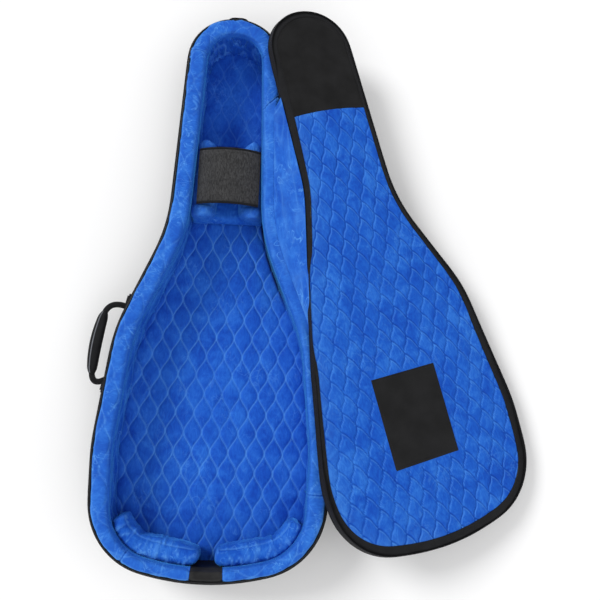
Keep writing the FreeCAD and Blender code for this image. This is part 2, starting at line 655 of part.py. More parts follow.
# ---------------------------------------------------------------- export
os.makedirs("parts", exist_ok=True)
for name, shape in nodes.items():
    assert shape.isValid() and len(shape.Solids) == 1, name
    shape.exportStep("parts/" + name + ".step")
print("pieces", len(nodes), "lid swing", round(LID_SWING, 3), "lid tilt", round(LID_TILT, 3))
for name, pin in pins.items():
    print(name, "slider's pin", tuple(round(value, 3) for value in pin))
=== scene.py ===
"""Looks of the padded gig bag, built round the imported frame.

Everything is in metres in the frame's axes: +Y to the head end, +X to the hinge side, +Z up.
Lid pieces are drawn with the lid closed and then turned about the hinge line to where it lies open.
"""
import bmesh
import bpy
import json
import math
import numpy as np
from mathutils import Matrix, Vector


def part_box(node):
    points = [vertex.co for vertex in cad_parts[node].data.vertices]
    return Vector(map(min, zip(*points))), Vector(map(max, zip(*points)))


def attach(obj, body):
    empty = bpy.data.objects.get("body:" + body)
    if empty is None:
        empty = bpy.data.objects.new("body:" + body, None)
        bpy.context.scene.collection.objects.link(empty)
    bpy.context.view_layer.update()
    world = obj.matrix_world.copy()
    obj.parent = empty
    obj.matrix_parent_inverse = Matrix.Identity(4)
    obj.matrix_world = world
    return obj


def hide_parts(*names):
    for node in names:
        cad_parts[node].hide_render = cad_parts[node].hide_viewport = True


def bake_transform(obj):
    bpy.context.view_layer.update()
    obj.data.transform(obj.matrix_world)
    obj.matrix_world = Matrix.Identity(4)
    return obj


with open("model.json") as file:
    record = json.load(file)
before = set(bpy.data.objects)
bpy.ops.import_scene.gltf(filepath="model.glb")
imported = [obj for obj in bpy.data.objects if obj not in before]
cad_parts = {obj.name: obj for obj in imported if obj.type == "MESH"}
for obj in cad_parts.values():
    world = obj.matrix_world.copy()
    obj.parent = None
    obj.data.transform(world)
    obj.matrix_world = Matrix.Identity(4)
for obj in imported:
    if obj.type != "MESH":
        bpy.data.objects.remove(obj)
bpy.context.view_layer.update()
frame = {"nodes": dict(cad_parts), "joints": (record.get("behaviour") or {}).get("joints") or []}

# ---------------------------------------------------------------- measures taken from the frame



def joint_named(name):
    return next(joint for joint in frame["joints"] if joint["name"] == name)


HINGE = joint_named("lid_hinge")
HINGE_AT = np.array(HINGE["pos_m"], float)
HINGE_DIR = np.array(HINGE["axis"], float)
OPEN_ANGLE = math.radians(-HINGE["range_deg"][0])
TILT = OPEN_ANGLE - math.pi
ACROSS = np.array([HINGE_DIR[1], -HINGE_DIR[0]])


def turned(points, angle):
    """Points turned about the hinge line."""
    rotation = np.array(Matrix.Rotation(angle, 3, Vector(HINGE_DIR)))
    return (np.asarray(points, float) - HINGE_AT) @ rotation.T + HINGE_AT


def node_points(node, closed_lid=False):
    points = np.array([v.co for v in frame["nodes"][node].data.vertices], float)
    return turned(points, -OPEN_ANGLE) if closed_lid else points


def closed_box(node):
    """Lowest and highest corner of a lid node while the lid is closed."""
    points = node_points(node, True)
    return points.min(0), points.max(0)


RIM_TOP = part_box("wall_lining_left")[1].z
WALL_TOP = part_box("side_wall")[1].z
FLOOR_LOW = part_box("floor_lining")[0].z
FLOOR_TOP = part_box("floor_lining")[1].z
BACK_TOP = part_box("back_panel")[1].z
BUMPER_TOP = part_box("bumper_left")[1].z
CRADLE_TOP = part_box("neck_cradle")[1].z
LID_LOW = closed_box("lid_gusset")[0][2]
LID_HIGH = closed_box("lid_gusset")[1][2]
POCKET_SPLIT = closed_box("pocket_panel")[0][2]
POCKET_HIGH = closed_box("pocket_panel")[1][2]

# ---------------------------------------------------------------- outlines
STEP = 0.0025  # distance between stations of an outline
SOFTEN = 0.012
EVERYWHERE = 9.0  # further than any point of the bag
TINY = 1e-12


def unit(rows):
    return rows / np.maximum(np.linalg.norm(rows, axis=-1, keepdims=True), TINY)


def lengths_along(path):
    return np.r_[0, np.cumsum(np.linalg.norm(np.diff(path, axis=0), axis=1))]


def face_loop(node, height, closed_lid=False):
    """Ordered outline of a node's flat face at one height."""
    points = node_points(node, closed_lid)
    keys = [tuple(p[:2]) for p in np.round(points, 5)]
    flat = np.abs(points[:, 2] - height) < 5e-5
    uses = {}
    for face in frame["nodes"][node].data.polygons:
        if all(flat[i] for i in face.vertices):
            corners = [keys[i] for i in face.vertices]
            for edge in zip(corners, corners[1:] + corners[:1]):
                uses.setdefault(frozenset(edge), []).append(edge)
    following = dict(used[0] for used in uses.values() if len(used) == 1)
    start = max(following, key=lambda p: p[1])
    loop = [start]
    while following[loop[-1]] != start:
        loop.append(following[loop[-1]])
    return np.array(loop)


def smoothed(values, spread):
    """Values round a closed outline, blurred over a distance along it."""
    cycles = np.fft.fftfreq(len(values))
    gain = np.exp(-2 * (math.pi * cycles * spread / STEP) ** 2)
    gain = gain.reshape([-1] + [1] * (values.ndim - 1))
    return np.real(np.fft.ifft(np.fft.fft(values, axis=0) * gain, axis=0))


class Outline:
    """Closed outline, clockwise from above, starting at the middle of the head end."""

    def __init__(self, loop, grow=0.0):
        ahead = np.roll(loop, -1, 0)
        if (loop[:, 0] * ahead[:, 1] - ahead[:, 0] * loop[:, 1]).sum() > 0:
            loop = loop[::-1]
        loop = self.resampled(loop)
        loop = loop + self.normals(loop) * grow
        loop = smoothed(self.resampled(loop), SOFTEN)
        headmost = np.argmin(np.where(loop[:, 1] > 0, np.abs(loop[:, 0]), EVERYWHERE))
        self.at = np.roll(loop, -headmost, 0)
        self.out = self.normals(self.at)
        self.count = len(self.at)

    @staticmethod
    def resampled(loop):
        ring = np.vstack([loop, loop[:1]])
        run = lengths_along(ring)
        at = np.arange(int(run[-1] / STEP)) * run[-1] / int(run[-1] / STEP)
        return np.column_stack([np.interp(at, run, ring[:, k]) for k in (0, 1)])

    @staticmethod
    def normals(loop):
        run = unit(np.roll(loop, -1, 0) - np.roll(loop, 1, 0))
        return np.column_stack([-run[:, 1], run[:, 0]])

    def around(self, values, stations):
        """Values kept round the outline, read at stations between its points."""
        low = np.floor(stations).astype(int)
        share = (stations - low).reshape(low.shape + (1,) * (values.ndim - 1))
        return values[low % self.count] * (1 - share) + values[(low + 1) % self.count] * share

    def inset(self, distance):
        return self.at - self.out * np.reshape(distance, (-1, 1))

    def nearest(self, xy):
        """Distance of points from the outline, and the station each is nearest to."""
        near, station = np.zeros(len(xy)), np.zeros(len(xy), int)
        for start in range(0, len(xy), 4000):
            part = slice(start, start + 4000)
            gaps = ((xy[part][:, None, :] - self.at[None, ::2, :]) ** 2).sum(2)
            near[part], station[part] = np.sqrt(gaps.min(1)), gaps.argmin(1) * 2
        return near, station

    def distance(self, x, y):
        return self.nearest(np.column_stack([x.ravel(), y.ravel()]))[0].reshape(x.shape)


PANEL_INSET = 0.0006
BASE = Outline(face_loop("back_panel", BACK_TOP), PANEL_INSET)


def loop_gap(xy, loop):
    """Distance of points from a closed polyline."""
    near = np.full(len(xy), EVERYWHERE)
    for a, b in zip(loop, np.roll(loop, -1, 0)):
        run = b - a
        share = np.clip(((xy - a) @ run) / max(run @ run, TINY), 0, 1)
        near = np.minimum(near, np.linalg.norm(xy - a - share[:, None] * run, axis=1))
    return near


floor_loops = [face_loop(node, FLOOR_TOP) for node in ("floor_lining", "head_floor_pad")]
RIM = smoothed(np.minimum(*[loop_gap(BASE.at, loop) for loop in floor_loops]), SOFTEN)
panel_box = closed_box("lid_outer_panel")
LID_BAND = closed_box("lid_gusset")[1][1] - panel_box[1][1]
LID = Outline(face_loop("lid_outer_panel", panel_box[1][2], True), LID_BAND)
POCKET = Outline(face_loop("pocket_panel", POCKET_SPLIT, True))


def sides_of(loop):
    """Left and right sides of a closed outline, each from the tail end to the head end."""
    head, tail = np.argmax(loop[:, 1]), np.argmin(loop[:, 1])
    right = np.roll(loop, -head, 0)[:(tail - head) % len(loop) + 1][::-1]
    left = np.roll(loop, -tail, 0)[:(head - tail) % len(loop) + 1]
    return left, right


def side_edges(loop, ys):
    """Left and right x of a closed outline at each y."""
    left, right = sides_of(loop)
    return np.interp(ys, left[:, 1], left[:, 0]), np.interp(ys, right[:, 1], right[:, 0])


def rows_over(loop, columns, thin=2, y_low=-EVERYWHERE, y_high=EVERYWHERE):
    """Grid of (x, y) points that fills an outline between two values of y, row by row."""
    right = sides_of(loop)[1]
    ys = right[(right[:, 1] > y_low) & (right[:, 1] < y_high), 1][::thin]
    ends = [max(y_low, loop[:, 1].min()), min(y_high, loop[:, 1].max())]
    ys = np.r_[ends[0], ys, ends[1]]
    left_x, right_x = side_edges(loop, ys)
    share = np.linspace(0, 1, columns)
    x = left_x[:, None] + (right_x - left_x)[:, None] * share
    return np.dstack([x, np.repeat(ys[:, None], columns, 1)])


# ---------------------------------------------------------------- surface detail
NOISE_CELLS = 128
OGEE_SWAY = 0.235  # share of the pattern's width that its lines sway

def step_up(value, low, high):
    share = np.clip((value - low) / (high - low), 0, 1)
    return share * share * (3 - 2 * share)


def rounded(gap, size, least=0.0):
    """Quarter-round from 0 at an edge to 1 at a distance from it."""
    return np.sqrt(1 - (1 - np.clip(gap / size, least, 1)) ** 2)


def noise(u, v, size, seed):
    """Smooth noise from 0 to 1 whose features have a given size."""
    table = np.random.default_rng(seed).random((NOISE_CELLS, NOISE_CELLS))
    x, y = u / size, v / size
    i, j = np.floor(x).astype(int), np.floor(y).astype(int)
    fx, fy = x - i, y - j
    fx, fy = fx * fx * (3 - 2 * fx), fy * fy * (3 - 2 * fy)
    i, j = i % NOISE_CELLS, j % NOISE_CELLS
    k, m = (i + 1) % NOISE_CELLS, (j + 1) % NOISE_CELLS
    low = table[i, j] * (1 - fx) + table[k, j] * fx
    high = table[i, m] * (1 - fx) + table[k, m] * fx
    return low * (1 - fy) + high * fy


def ridges(u, v, size, seed):
    """Thin creases: 1 on each crease line and falling away quickly beside it."""
    return (1 - np.abs(2 * noise(u, v, size, seed) - 1)) ** 4


def crushed(u, v, seed):
    """Height of the pressed creases in velvet, in metres."""
    bend = 0.02 * noise(u, v, 0.05, seed + 5)
    creases = ridges(u + bend, 0.55 * v + bend, 0.021, seed)
    creases = creases + 0.6 * ridges(v, 0.5 * u + bend, 0.015, seed + 1)
    return 0.0007 * creases + 0.0008 * (noise(u, v, 0.03, seed + 2) - 0.5)


def wavy_gap(position, pitch):
    """Distance to the nearest of a row of lines a pitch apart."""
    return np.abs((position / pitch + 0.5) % 1 - 0.5) * pitch


def ogee_gap(x, y, width, length):
    """Distance to the nearest line of an ogee pattern: neighbouring wavy lines that kiss."""
    sway = OGEE_SWAY * width * np.sin(2 * math.pi * y / length)
    slope = OGEE_SWAY * width * 2 * math.pi / length * np.cos(2 * math.pi * y / length)
    steep = np.sqrt(1 + slope ** 2)
    return np.minimum(wavy_gap(x - sway, width), wavy_gap(x + sway + width / 2, width)) / steep


WALL_OGEE, FLOOR_OGEE = (0.046, 0.092), (0.038, 0.080)  # width and length of the quilts' patterns
LEAF_WIDE, LEAF_TALL, LEAF_SLOPE, LEAF_LEAN = 0.030, 0.039, 0.83, 0.065


def leaf_gap(x, y):
    """Signed distance to the nearest line of the lid's quilting, positive on its sunlit side.

    The pattern is square to the open lid, so the points are turned to where they lie open.
    """
    spread = turned(np.dstack([x, y, np.full(x.shape, LID_LOW)]).reshape(-1, 3), OPEN_ANGLE)
    x, y = spread[:, 0].reshape(x.shape), spread[:, 1].reshape(x.shape)
    wander = 0.005 * (noise(x, y, 0.11, 301) - 0.5)
    column = (x - LEAF_LEAN * y + wander) / LEAF_WIDE
    row = (y + LEAF_SLOPE * x + wander) / LEAF_TALL
    column = column + 0.055 * np.sin(2 * math.pi * row)
    row = row - 0.10 * np.abs(np.sin(math.pi * column))
    across = ((column + 0.5) % 1 - 0.5) * LEAF_WIDE
    down = -((row + 0.5) % 1 - 0.5) * LEAF_TALL / math.sqrt(1 + LEAF_SLOPE ** 2)
    return np.where(np.abs(across) < np.abs(down), across, down)


def quilted(gap, depth, soft=0.008):
    """Height over the stitched lines of a quilt."""
    return depth * (1 - np.exp(-gap / soft)) - 0.4 * depth * np.exp(-(gap / 0.0016) ** 2)


def normals_of(points):
    across = np.gradient(points, axis=0)
    along = np.gradient(points, axis=1)
    return unit(np.cross(across, along))


def raised(points, height, towards):
    """Grid points moved along the surface normal, on the side that faces a direction."""
    normal = normals_of(points)
    facing = np.sign((normal * np.asarray(towards)).sum(2, keepdims=True).mean())
    return points + normal * facing * height[:, :, None]


def stitch_mark(gap, width=0.0013):
    return np.exp(-(gap / width) ** 2)


def seam_shade_and_highlight(gap, width=0.0010):
    """Painted shade in a stitched groove and a painted highlight along one lip, as light falls across a
    seam.
    """
    return 0.70 * stitch_mark(gap - 1.9 * width, width) - 0.95 * stitch_mark(gap + 0.3 * width, width)


# ---------------------------------------------------------------- pieces
UP = np.array([0.0, 0.0, 1.0])
FLAT = np.array([1.0, 1.0, 0.0])  # keeps x and y

def quads_of(index):
    """Four-sided faces between the neighbours in a grid of point numbers."""
    quads = np.stack([index[:-1, :-1], index[:-1, 1:], index[1:, 1:], index[1:, :-1]], axis=2)
    return [tuple(quad) for quad in quads.reshape(-1, 4).tolist()]


def grid_faces(rows, columns, first=0):
    return quads_of(first + np.arange(rows * columns).reshape(rows, columns))


def in_scene(name, data):
    obj = bpy.data.objects.new(name, data)
    bpy.context.scene.collection.objects.link(obj)
    return obj


def piece(name, body, material, points, faces, cloth=None, mark=None, replaces=(), sharp=None):
    """New mesh piece that rides on a body. cloth holds the cloth's own coordinates."""
    mesh = bpy.data.meshes.new(name)
    points = np.asarray(points, float).reshape(-1, 3)
    mesh.from_pydata(points.tolist(), [], faces)
    cloth = points if cloth is None else np.asarray(cloth, float).reshape(-1, 3)
    mesh.attributes.new("cloth", "FLOAT_VECTOR", "POINT").data.foreach_set("vector", cloth.ravel())
    mark = np.zeros(len(points)) if mark is None else np.asarray(mark, float).ravel()
    mesh.attributes.new("mark", "FLOAT", "POINT").data.foreach_set("value", mark)
    tidy = bmesh.new()
    tidy.from_mesh(mesh)
    bmesh.ops.remove_doubles(tidy, verts=tidy.verts, dist=1e-6)
    bmesh.ops.recalc_face_normals(tidy, faces=tidy.faces)
    tidy.to_mesh(mesh)
    tidy.free()
    mesh.shade_smooth()
    if sharp:
        mesh.set_sharp_from_angle(angle=math.radians(sharp))
    obj = in_scene(name, mesh)
    obj.data.materials.append(material)
    if body:
        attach(obj, body)
    if replaces:
        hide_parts(*replaces)
    return obj


def lid_piece(name, slot, material, points, faces, cloth=None, mark=None, replaces=(), sharp=None):
    """Piece drawn on the closed lid and turned to where the lid lies open."""
    opened = turned(points, OPEN_ANGLE)
    return piece(name, "lid", material, opened, faces, cloth, mark, replaces, sharp)


def cloth_map(u, v, behind=0):
    """Cloth coordinates of a grid, kept on over the columns that close it behind."""
    cloth = np.dstack([u, v, 0 * u])
    return np.hstack([cloth, np.repeat(cloth[:, -1:], behind, 1)])


def girth(points):
    """Distance along each row of a grid from its first point."""
    return np.cumsum(np.linalg.norm(np.diff(points, axis=1, prepend=points[:, :1]), axis=2), axis=1)


def edge_ring(rows, columns):
    """Indices round the border of a grid."""
    index = np.arange(rows * columns).reshape(rows, columns)
    return np.r_[index[0, :-1], index[:-1, -1], index[-1, :0:-1], index[:0:-1, 0]]


def backed(front, back_z):
    """Front grid closed by side walls and a flat back; returns points and faces."""
    rows, columns = front.shape[:2]
    flat = front.reshape(-1, 3)
    border = edge_ring(rows, columns)
    back = flat[border]
    back[:, 2] = back_z
    faces = grid_faces(rows, columns)
    count, size = len(flat), len(border)
    for i in range(size):
        j = (i + 1) % size
        faces.append((int(border[i]), int(border[j]), count + j, count + i))
    faces.append(tuple(range(count, count + size)))
    return np.vstack([flat, back]), faces


def swept(sections, closed_path):
    """Faces for a tube given as a grid of rings, capped if open; returns points and faces."""
    rows, sides = sections.shape[:2]
    index = np.arange(rows * sides).reshape(rows, sides)
    index = np.hstack([index, index[:, :1]])
    if closed_path:
        index = np.vstack([index, index[:1]])
    faces = quads_of(index)
    if not closed_path:
        faces.append(tuple(range(sides)))
        faces.append(tuple(range((rows - 1) * sides, rows * sides)))
    return sections.reshape(-1, 3), faces


def path_frames(path, closed):
    """Sideways and upward unit vectors along a path."""
    if closed:
        run = np.roll(path, -1, 0) - np.roll(path, 1, 0)
    else:
        run = np.gradient(path, axis=0)
    side = unit(np.cross(unit(run), UP))
    return side, np.cross(side, unit(run))


def tube(path, radius, closed, sides=10, flat=1.0):
    """Round or flattened cord along a path; returns points, faces and cloth coordinates."""
    side, top = path_frames(path, closed)
    turn = np.linspace(0, 2 * math.pi, sides, endpoint=False)
    sections = (
        path[:, None, :]
        + radius * np.cos(turn)[None, :, None] * side[:, None, :]
        + radius * flat * np.sin(turn)[None, :, None] * top[:, None, :]
    )
    along, round_way = np.meshgrid(lengths_along(path), np.abs(turn - math.pi) * radius, indexing="ij")
    return *swept(sections, closed), cloth_map(along, round_way)


def rounded_taper(lengths, size, end=0.35):
    """Share of full size along a path whose two ends are round."""
    gap = np.minimum(lengths - lengths[0], lengths[-1] - lengths)
    return np.maximum(rounded(gap, size), end * step_up(gap, -1e-9, 1e-9))


def blocks(centres, runs, outs, ups, size):
    """Many small six-sided blocks, such as zip teeth or stitches."""
    corners = np.array([(a, b, c) for a in (-1, 1) for b in (-1, 1) for c in (-1, 1)]) / 2.0
    length, width, height = size
    shift = (
        corners[None, :, 0, None] * length * runs[:, None, :]
        + corners[None, :, 1, None] * width * outs[:, None, :]
        + corners[None, :, 2, None] * height * ups[:, None, :]
    )
    points = (centres[:, None, :] + shift).reshape(-1, 3)
    sides = [(0, 1, 3, 2), (4, 6, 7, 5), (0, 4, 5, 1), (2, 3, 7, 6), (0, 2, 6, 4), (1, 5, 7, 3)]
    faces = [tuple(8 * i + k for k in side) for i in range(len(centres)) for side in sides]
    return points, faces


def merged(*parts):
    """Several (points, faces) as one."""
    points, faces, first = [], [], 0
    for some, its_faces in parts:
        some = np.asarray(some).reshape(-1, 3)
        points.append(some)
        faces += [tuple(first + i for i in face) for face in its_faces]
        first += len(some)
    return np.vstack(points), faces


def lifted(xy, z):
    return np.column_stack([xy, np.broadcast_to(z, len(xy))])


def at_pitch(path, pitch, closed=False):
    """Evenly spaced points along a path, with their run directions."""
    line = np.vstack([path, path[:1]]) if closed else path
    lengths = lengths_along(line)
    marks = np.arange(pitch / 2, lengths[-1], pitch)
    points = np.column_stack([np.interp(marks, lengths, line[:, k]) for k in range(3)])
    ahead = np.column_stack([np.interp(marks + pitch / 4, lengths, line[:, k]) for k in range(3)])
    return points, unit(ahead - points)


# ---------------------------------------------------------------- materials


class Shader:
    """A material under construction: cloth coordinates in metres, and a Principled surface."""

    def __init__(self, name, solid=False, **sockets):
        self.material = bpy.data.materials.new(name)
        self.material.use_nodes = True
        self.tree = self.material.node_tree
        self.surface = self.tree.nodes["Principled BSDF"]
        for socket, value in sockets.items():
            self.feed(self.surface.inputs[socket.replace("_", " ")], value)
        if solid:
            self.cloth = self.node("ShaderNodeTexCoord").outputs["Object"]
        else:
            self.cloth = self.node("ShaderNodeAttribute", attribute_name="cloth").outputs["Vector"]
        self.bumps = None

    def feed(self, socket, value):
        """Links another node's output to a socket, or sets the socket's own value."""
        if isinstance(value, bpy.types.NodeSocket):
            self.tree.links.new(value, socket)
        elif socket.type == "RGBA":
            socket.default_value = (*value, 1.0)
        else:
            socket.default_value = value

    def node(self, kind, inputs=None, **settings):
        made = self.tree.nodes.new(kind)
        for key, value in settings.items():
            setattr(made, key, value)
        for key, value in (inputs or {}).items():
            self.feed(made.inputs[key], value)
        return made

    def noise(self, scale, detail=3.0, distortion=0.0, vector=None):
        inputs = {"Vector": vector or self.cloth, "Scale": scale, "Detail": detail}
        inputs.update({"Distortion": distortion, "Roughness": 0.55})
        return self.node("ShaderNodeTexNoise", inputs).outputs["Fac"]

    def stretched(self, scale):
        return self.node("ShaderNodeMapping", {"Vector": self.cloth, "Scale": scale}).outputs["Vector"]

    def bands(self, scale, direction):
        wave = self.node(
            "ShaderNodeTexWave", {"Vector": self.cloth, "Scale": scale},
            wave_type="BANDS", bands_direction=direction, wave_profile="SIN",
        )
        return wave.outputs["Fac"]

    def math(self, operation, a, b=0.0):
        return self.node("ShaderNodeMath", {0: a, 1: b}, operation=operation).outputs[0]

    def ramp(self, value, *stops):
        made = self.node("ShaderNodeValToRGB", {"Fac": value})
        elements = made.color_ramp.elements
        while len(elements) < len(stops):
            elements.new(0.5)
        for element, (place, colour) in zip(elements, stops):
            element.position = place
            element.color = (*colour, 1.0)
        return made.outputs["Color"]

    def range(self, value, low, high, out_low, out_high):
        inputs = {"Value": value, "From Min": low, "From Max": high, "To Min": out_low, "To Max": out_high}
        return self.node("ShaderNodeMapRange", inputs).outputs["Result"]

    def mix(self, share, first, second):
        return self.node("ShaderNodeMix", {0: share, 6: first, 7: second}, data_type="RGBA").outputs[2]

    def bump(self, height, strength, distance):
        inputs = {"Height": height, "Strength": strength, "Distance": distance}
        if self.bumps:
            inputs["Normal"] = self.bumps
        self.bumps = self.node("ShaderNodeBump", inputs).outputs["Normal"]

    def finish(self, colour=None, roughness=None):
        pairs = (("Base Color", colour), ("Roughness", roughness), ("Normal", self.bumps))
        for socket, value in pairs:
            if value is not None:
                self.tree.links.new(value, self.surface.inputs[socket])
        return self.material


def velvet(name, deep, middle, bright, crease):
    """Crushed velvet: patches of pile that lean different ways, pale creases and stitched lines, with
    painted highlights and painted shade laid on from each piece's mark.
    """
    made = Shader(
        name, Roughness=0.8, Specular_IOR_Level=0.1,
        Sheen_Weight=0.75, Sheen_Roughness=0.28, Sheen_Tint=(0.10, 0.50, 1.0),
    )
    patches = made.noise(16.0, 4.0, 1.2)
    pile = made.noise(90.0, 4.0, 2.5, made.stretched((1.0, 0.45, 1.0)))
    fibres = made.noise(1400.0, 2.0)
    tone = made.math("ADD", made.math("MULTIPLY", patches, 0.6), made.math("MULTIPLY", pile, 0.4))
    colour = made.ramp(tone, (0.36, deep), (0.5, middle), (0.66, bright))
    folds = made.noise(30.0, 2.5, 1.4, made.stretched((1.0, 0.6, 1.0)))
    line = made.range(made.math("ABSOLUTE", made.math("SUBTRACT", folds, 0.5)), 0.0, 0.018, 1.0, 0.0)
    line = made.math("MULTIPLY", line, made.range(made.noise(15.0, 2.0), 0.42, 0.62, 0.0, 1.0))
    colour = made.mix(made.math("MULTIPLY", line, crease), colour, PALE_BLUE)
    # the mark attribute paints highlights towards pale blue and shade towards dark blue and near-black; it
    # also carries pale stitched lines
    mark = made.node("ShaderNodeAttribute", attribute_name="mark").outputs["Fac"]
    colour = made.mix(made.range(mark, 0.0, 1.0, 0.0, 0.6), colour, PALE_BLUE)
    colour = made.mix(made.range(mark, 0.0, -1.0, 0.0, 0.7), colour, SHADED_BLUE)
    colour = made.mix(made.range(mark, -1.0, -2.0, 0.0, 0.95), colour, SHADE)
    colour = made.mix(made.range(fibres, 0.3, 0.7, 0.0, 0.22), colour, deep)
    made.bump(fibres, 0.25, 0.0006)
    made.bump(pile, 0.35, 0.0012)
    made.bump(line, 0.3, 0.0008)
    return made.finish(colour, made.range(patches, 0.3, 0.7, 0.85, 0.62))


def woven(name, dark, light, pitch, roughness=0.6, strength=0.5):
    """Plain weave: raised warp and weft threads of a given pitch."""
    made = Shader(name, Roughness=roughness, Sheen_Weight=0.04, Specular_IOR_Level=0.14)
    scale = 0.5 / pitch
    warp = made.bands(scale, "X")
    weft = made.bands(scale, "Y")
    threads = made.math("MAXIMUM", warp, weft)
    dust = made.noise(60.0, 5.0)
    wear = made.noise(9.0, 3.0)
    colour = made.mix(made.range(dust, 0.35, 0.75, 0.0, 1.0), dark, light)
    colour = made.mix(made.math("MULTIPLY", threads, 0.35), colour, [c * 1.7 for c in light])
    made.bump(threads, strength, pitch * 0.35)
    made.bump(wear, 0.2, 0.002)
    return made.finish(colour, made.range(wear, 0.3, 0.7, roughness - 0.08, roughness + 0.12))


def smooth_sheet(name, dark, light, grain, roughness, coat=0.0, solid=False):
    """Fine-grained vinyl or rubber."""
    made = Shader(name, solid, Roughness=roughness, Specular_IOR_Level=0.16, Coat_Weight=coat)
    cells = made.node("ShaderNodeTexVoronoi", {"Vector": made.cloth, "Scale": grain}, feature="F1")
    patches = made.noise(22.0, 4.0)
    colour = made.mix(made.range(patches, 0.35, 0.7, 0.0, 1.0), dark, light)
    made.bump(cells.outputs["Distance"], 0.35, 0.0003)
    made.bump(made.noise(40.0, 3.0), 0.25, 0.0012)
    return made.finish(colour, made.range(patches, 0.3, 0.7, roughness - 0.06, roughness + 0.1))


def felted(name, dark, light):
    """Loop felt: flecked fibres lying every way."""
    made = Shader(name, Roughness=0.9, Sheen_Weight=0.35, Sheen_Roughness=0.5, Specular_IOR_Level=0.15)
    flecks = made.noise(330.0, 5.0, 1.0, made.stretched((1.0, 0.35, 1.0)))
    loops = made.noise(1500.0, 2.0)
    patches = made.noise(45.0, 3.0)
    colour = made.ramp(flecks, (0.38, dark), (0.62, light))
    colour = made.mix(made.range(patches, 0.3, 0.7, 0.0, 0.35), colour, dark)
    made.bump(loops, 0.6, 0.0006)
    made.bump(flecks, 0.4, 0.001)
    return made.finish(colour)


def plated(name, dark, light):
    """Dark plated metal, brighter where hands rub it."""
    made = Shader(name, True, Metallic=0.9, Roughness=0.32)
    rubs = made.noise(140.0, 5.0, 0.5)
    colour = made.mix(made.range(rubs, 0.4, 0.7, 0.0, 1.0), dark, light)
    made.bump(made.noise(700.0, 2.0), 0.12, 0.0003)
    return made.finish(colour, made.range(rubs, 0.3, 0.7, 0.26, 0.42))


BLUES = ((0.007, 0.066, 0.44), (0.011, 0.104, 0.54), (0.030, 0.180, 0.67))
FLOOR_BLUES = ((0.007, 0.062, 0.43), (0.011, 0.100, 0.54), (0.024, 0.160, 0.65))
# pale blue of the velvet's creases, also used for painted highlights
PALE_BLUE = (0.12, 0.38, 0.86)
# dark blue of painted shade in folds, seam tucks and grooves
SHADED_BLUE = (0.003, 0.028, 0.22)
SHADE = (0.0006, 0.0016, 0.008)
VELVET = velvet("velvet_lining", *BLUES, 0.7)
VELVET_LID = velvet("velvet_lid", *BLUES, 0.22)
VELVET_FLOOR = velvet("velvet_floor", *FLOOR_BLUES, 0.25)
NYLON = woven("ballistic_nylon", (0.004, 0.004, 0.005), (0.009, 0.0095, 0.011), 0.0011)
WEBBING = woven("woven_webbing", (0.005, 0.005, 0.006), (0.013, 0.013, 0.015), 0.0018, 0.7, 0.8)
ZIP_TAPE = woven("zip_tape", (0.003, 0.003, 0.004), (0.008, 0.008, 0.010), 0.0007, 0.75, 0.4)
VINYL = smooth_sheet("grained_vinyl", (0.006, 0.006, 0.0065), (0.012, 0.012, 0.013), 900.0, 0.5)
SHIELD_VINYL = smooth_sheet("shield_vinyl", (0.007, 0.007, 0.008), (0.030, 0.030, 0.031), 500.0, 0.6)
PIPING = smooth_sheet("piping_rubber", (0.003, 0.003, 0.004), (0.008, 0.008, 0.010), 1500.0, 0.42, 0.1)
GREY_PIPING = smooth_sheet("grey_piping", (0.13, 0.14, 0.16), (0.22, 0.23, 0.26), 1500.0, 0.4, 0.1)
COIL = smooth_sheet("coil_plastic", (0.006, 0.006, 0.007), (0.014, 0.014, 0.017), 1200.0, 0.35, 0.2)
THREAD = smooth_sheet("thread", (0.012, 0.012, 0.014), (0.03, 0.03, 0.034), 2500.0, 0.7)
FELT = felted("loop_felt", (0.014, 0.014, 0.015), (0.050, 0.050, 0.052))
SOLID_METAL = plated("dark_plated_metal", (0.035, 0.035, 0.038), (0.12, 0.12, 0.125))
FOAM = smooth_sheet("closed_cell_foam", (0.45, 0.45, 0.43), (0.6, 0.6, 0.57), 600.0, 0.9, solid=True)

# ---------------------------------------------------------------- base: padded rim
HINGE_REACH = 0.03  # how far inside the hinge line the open lid's plane is followed
LID_STAND = 0.0012  # room left under the open lid


def pressed(points, room=LID_STAND):
    """Keeps points under the open lid, which lies on the rim beyond the hinge line."""
    beyond = (points[..., :2] - HINGE_AT[:2]) @ ACROSS
    ceiling = RIM_TOP - room - np.maximum(beyond, -HINGE_REACH) * math.tan(TILT)
    low = points.copy()
    over = points[..., 2] - ceiling
    low[..., 2] = np.where(over > 0, ceiling - 0.0004 * (1 - np.exp(-over / 0.002)), points[..., 2])
    return low


RIM_START = 0.0036
RIM_POWER = 2.7  # squareness of the rolled rim
STRAP_SPAN = (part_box("neck_strap")[0].y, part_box("neck_strap")[1].y)
RIM_FOOT = WALL_TOP + 0.001
TOP_STEPS = 22
WALL_STEPS = 20
SKEW_FADE = 0.12  # distance from a seam over which it stops running askew
WALL_BOW = 0.0022


def rim_profile(inset, width):
    """Height of the rolled rim at a distance in from the bag's edge."""
    half = (width - RIM_START) / 2
    share = np.clip(np.abs(inset - RIM_START - half) / half, 0, 1)
    return RIM_FOOT + (RIM_TOP - RIM_FOOT) * (1 - share ** RIM_POWER) ** (1 / RIM_POWER)


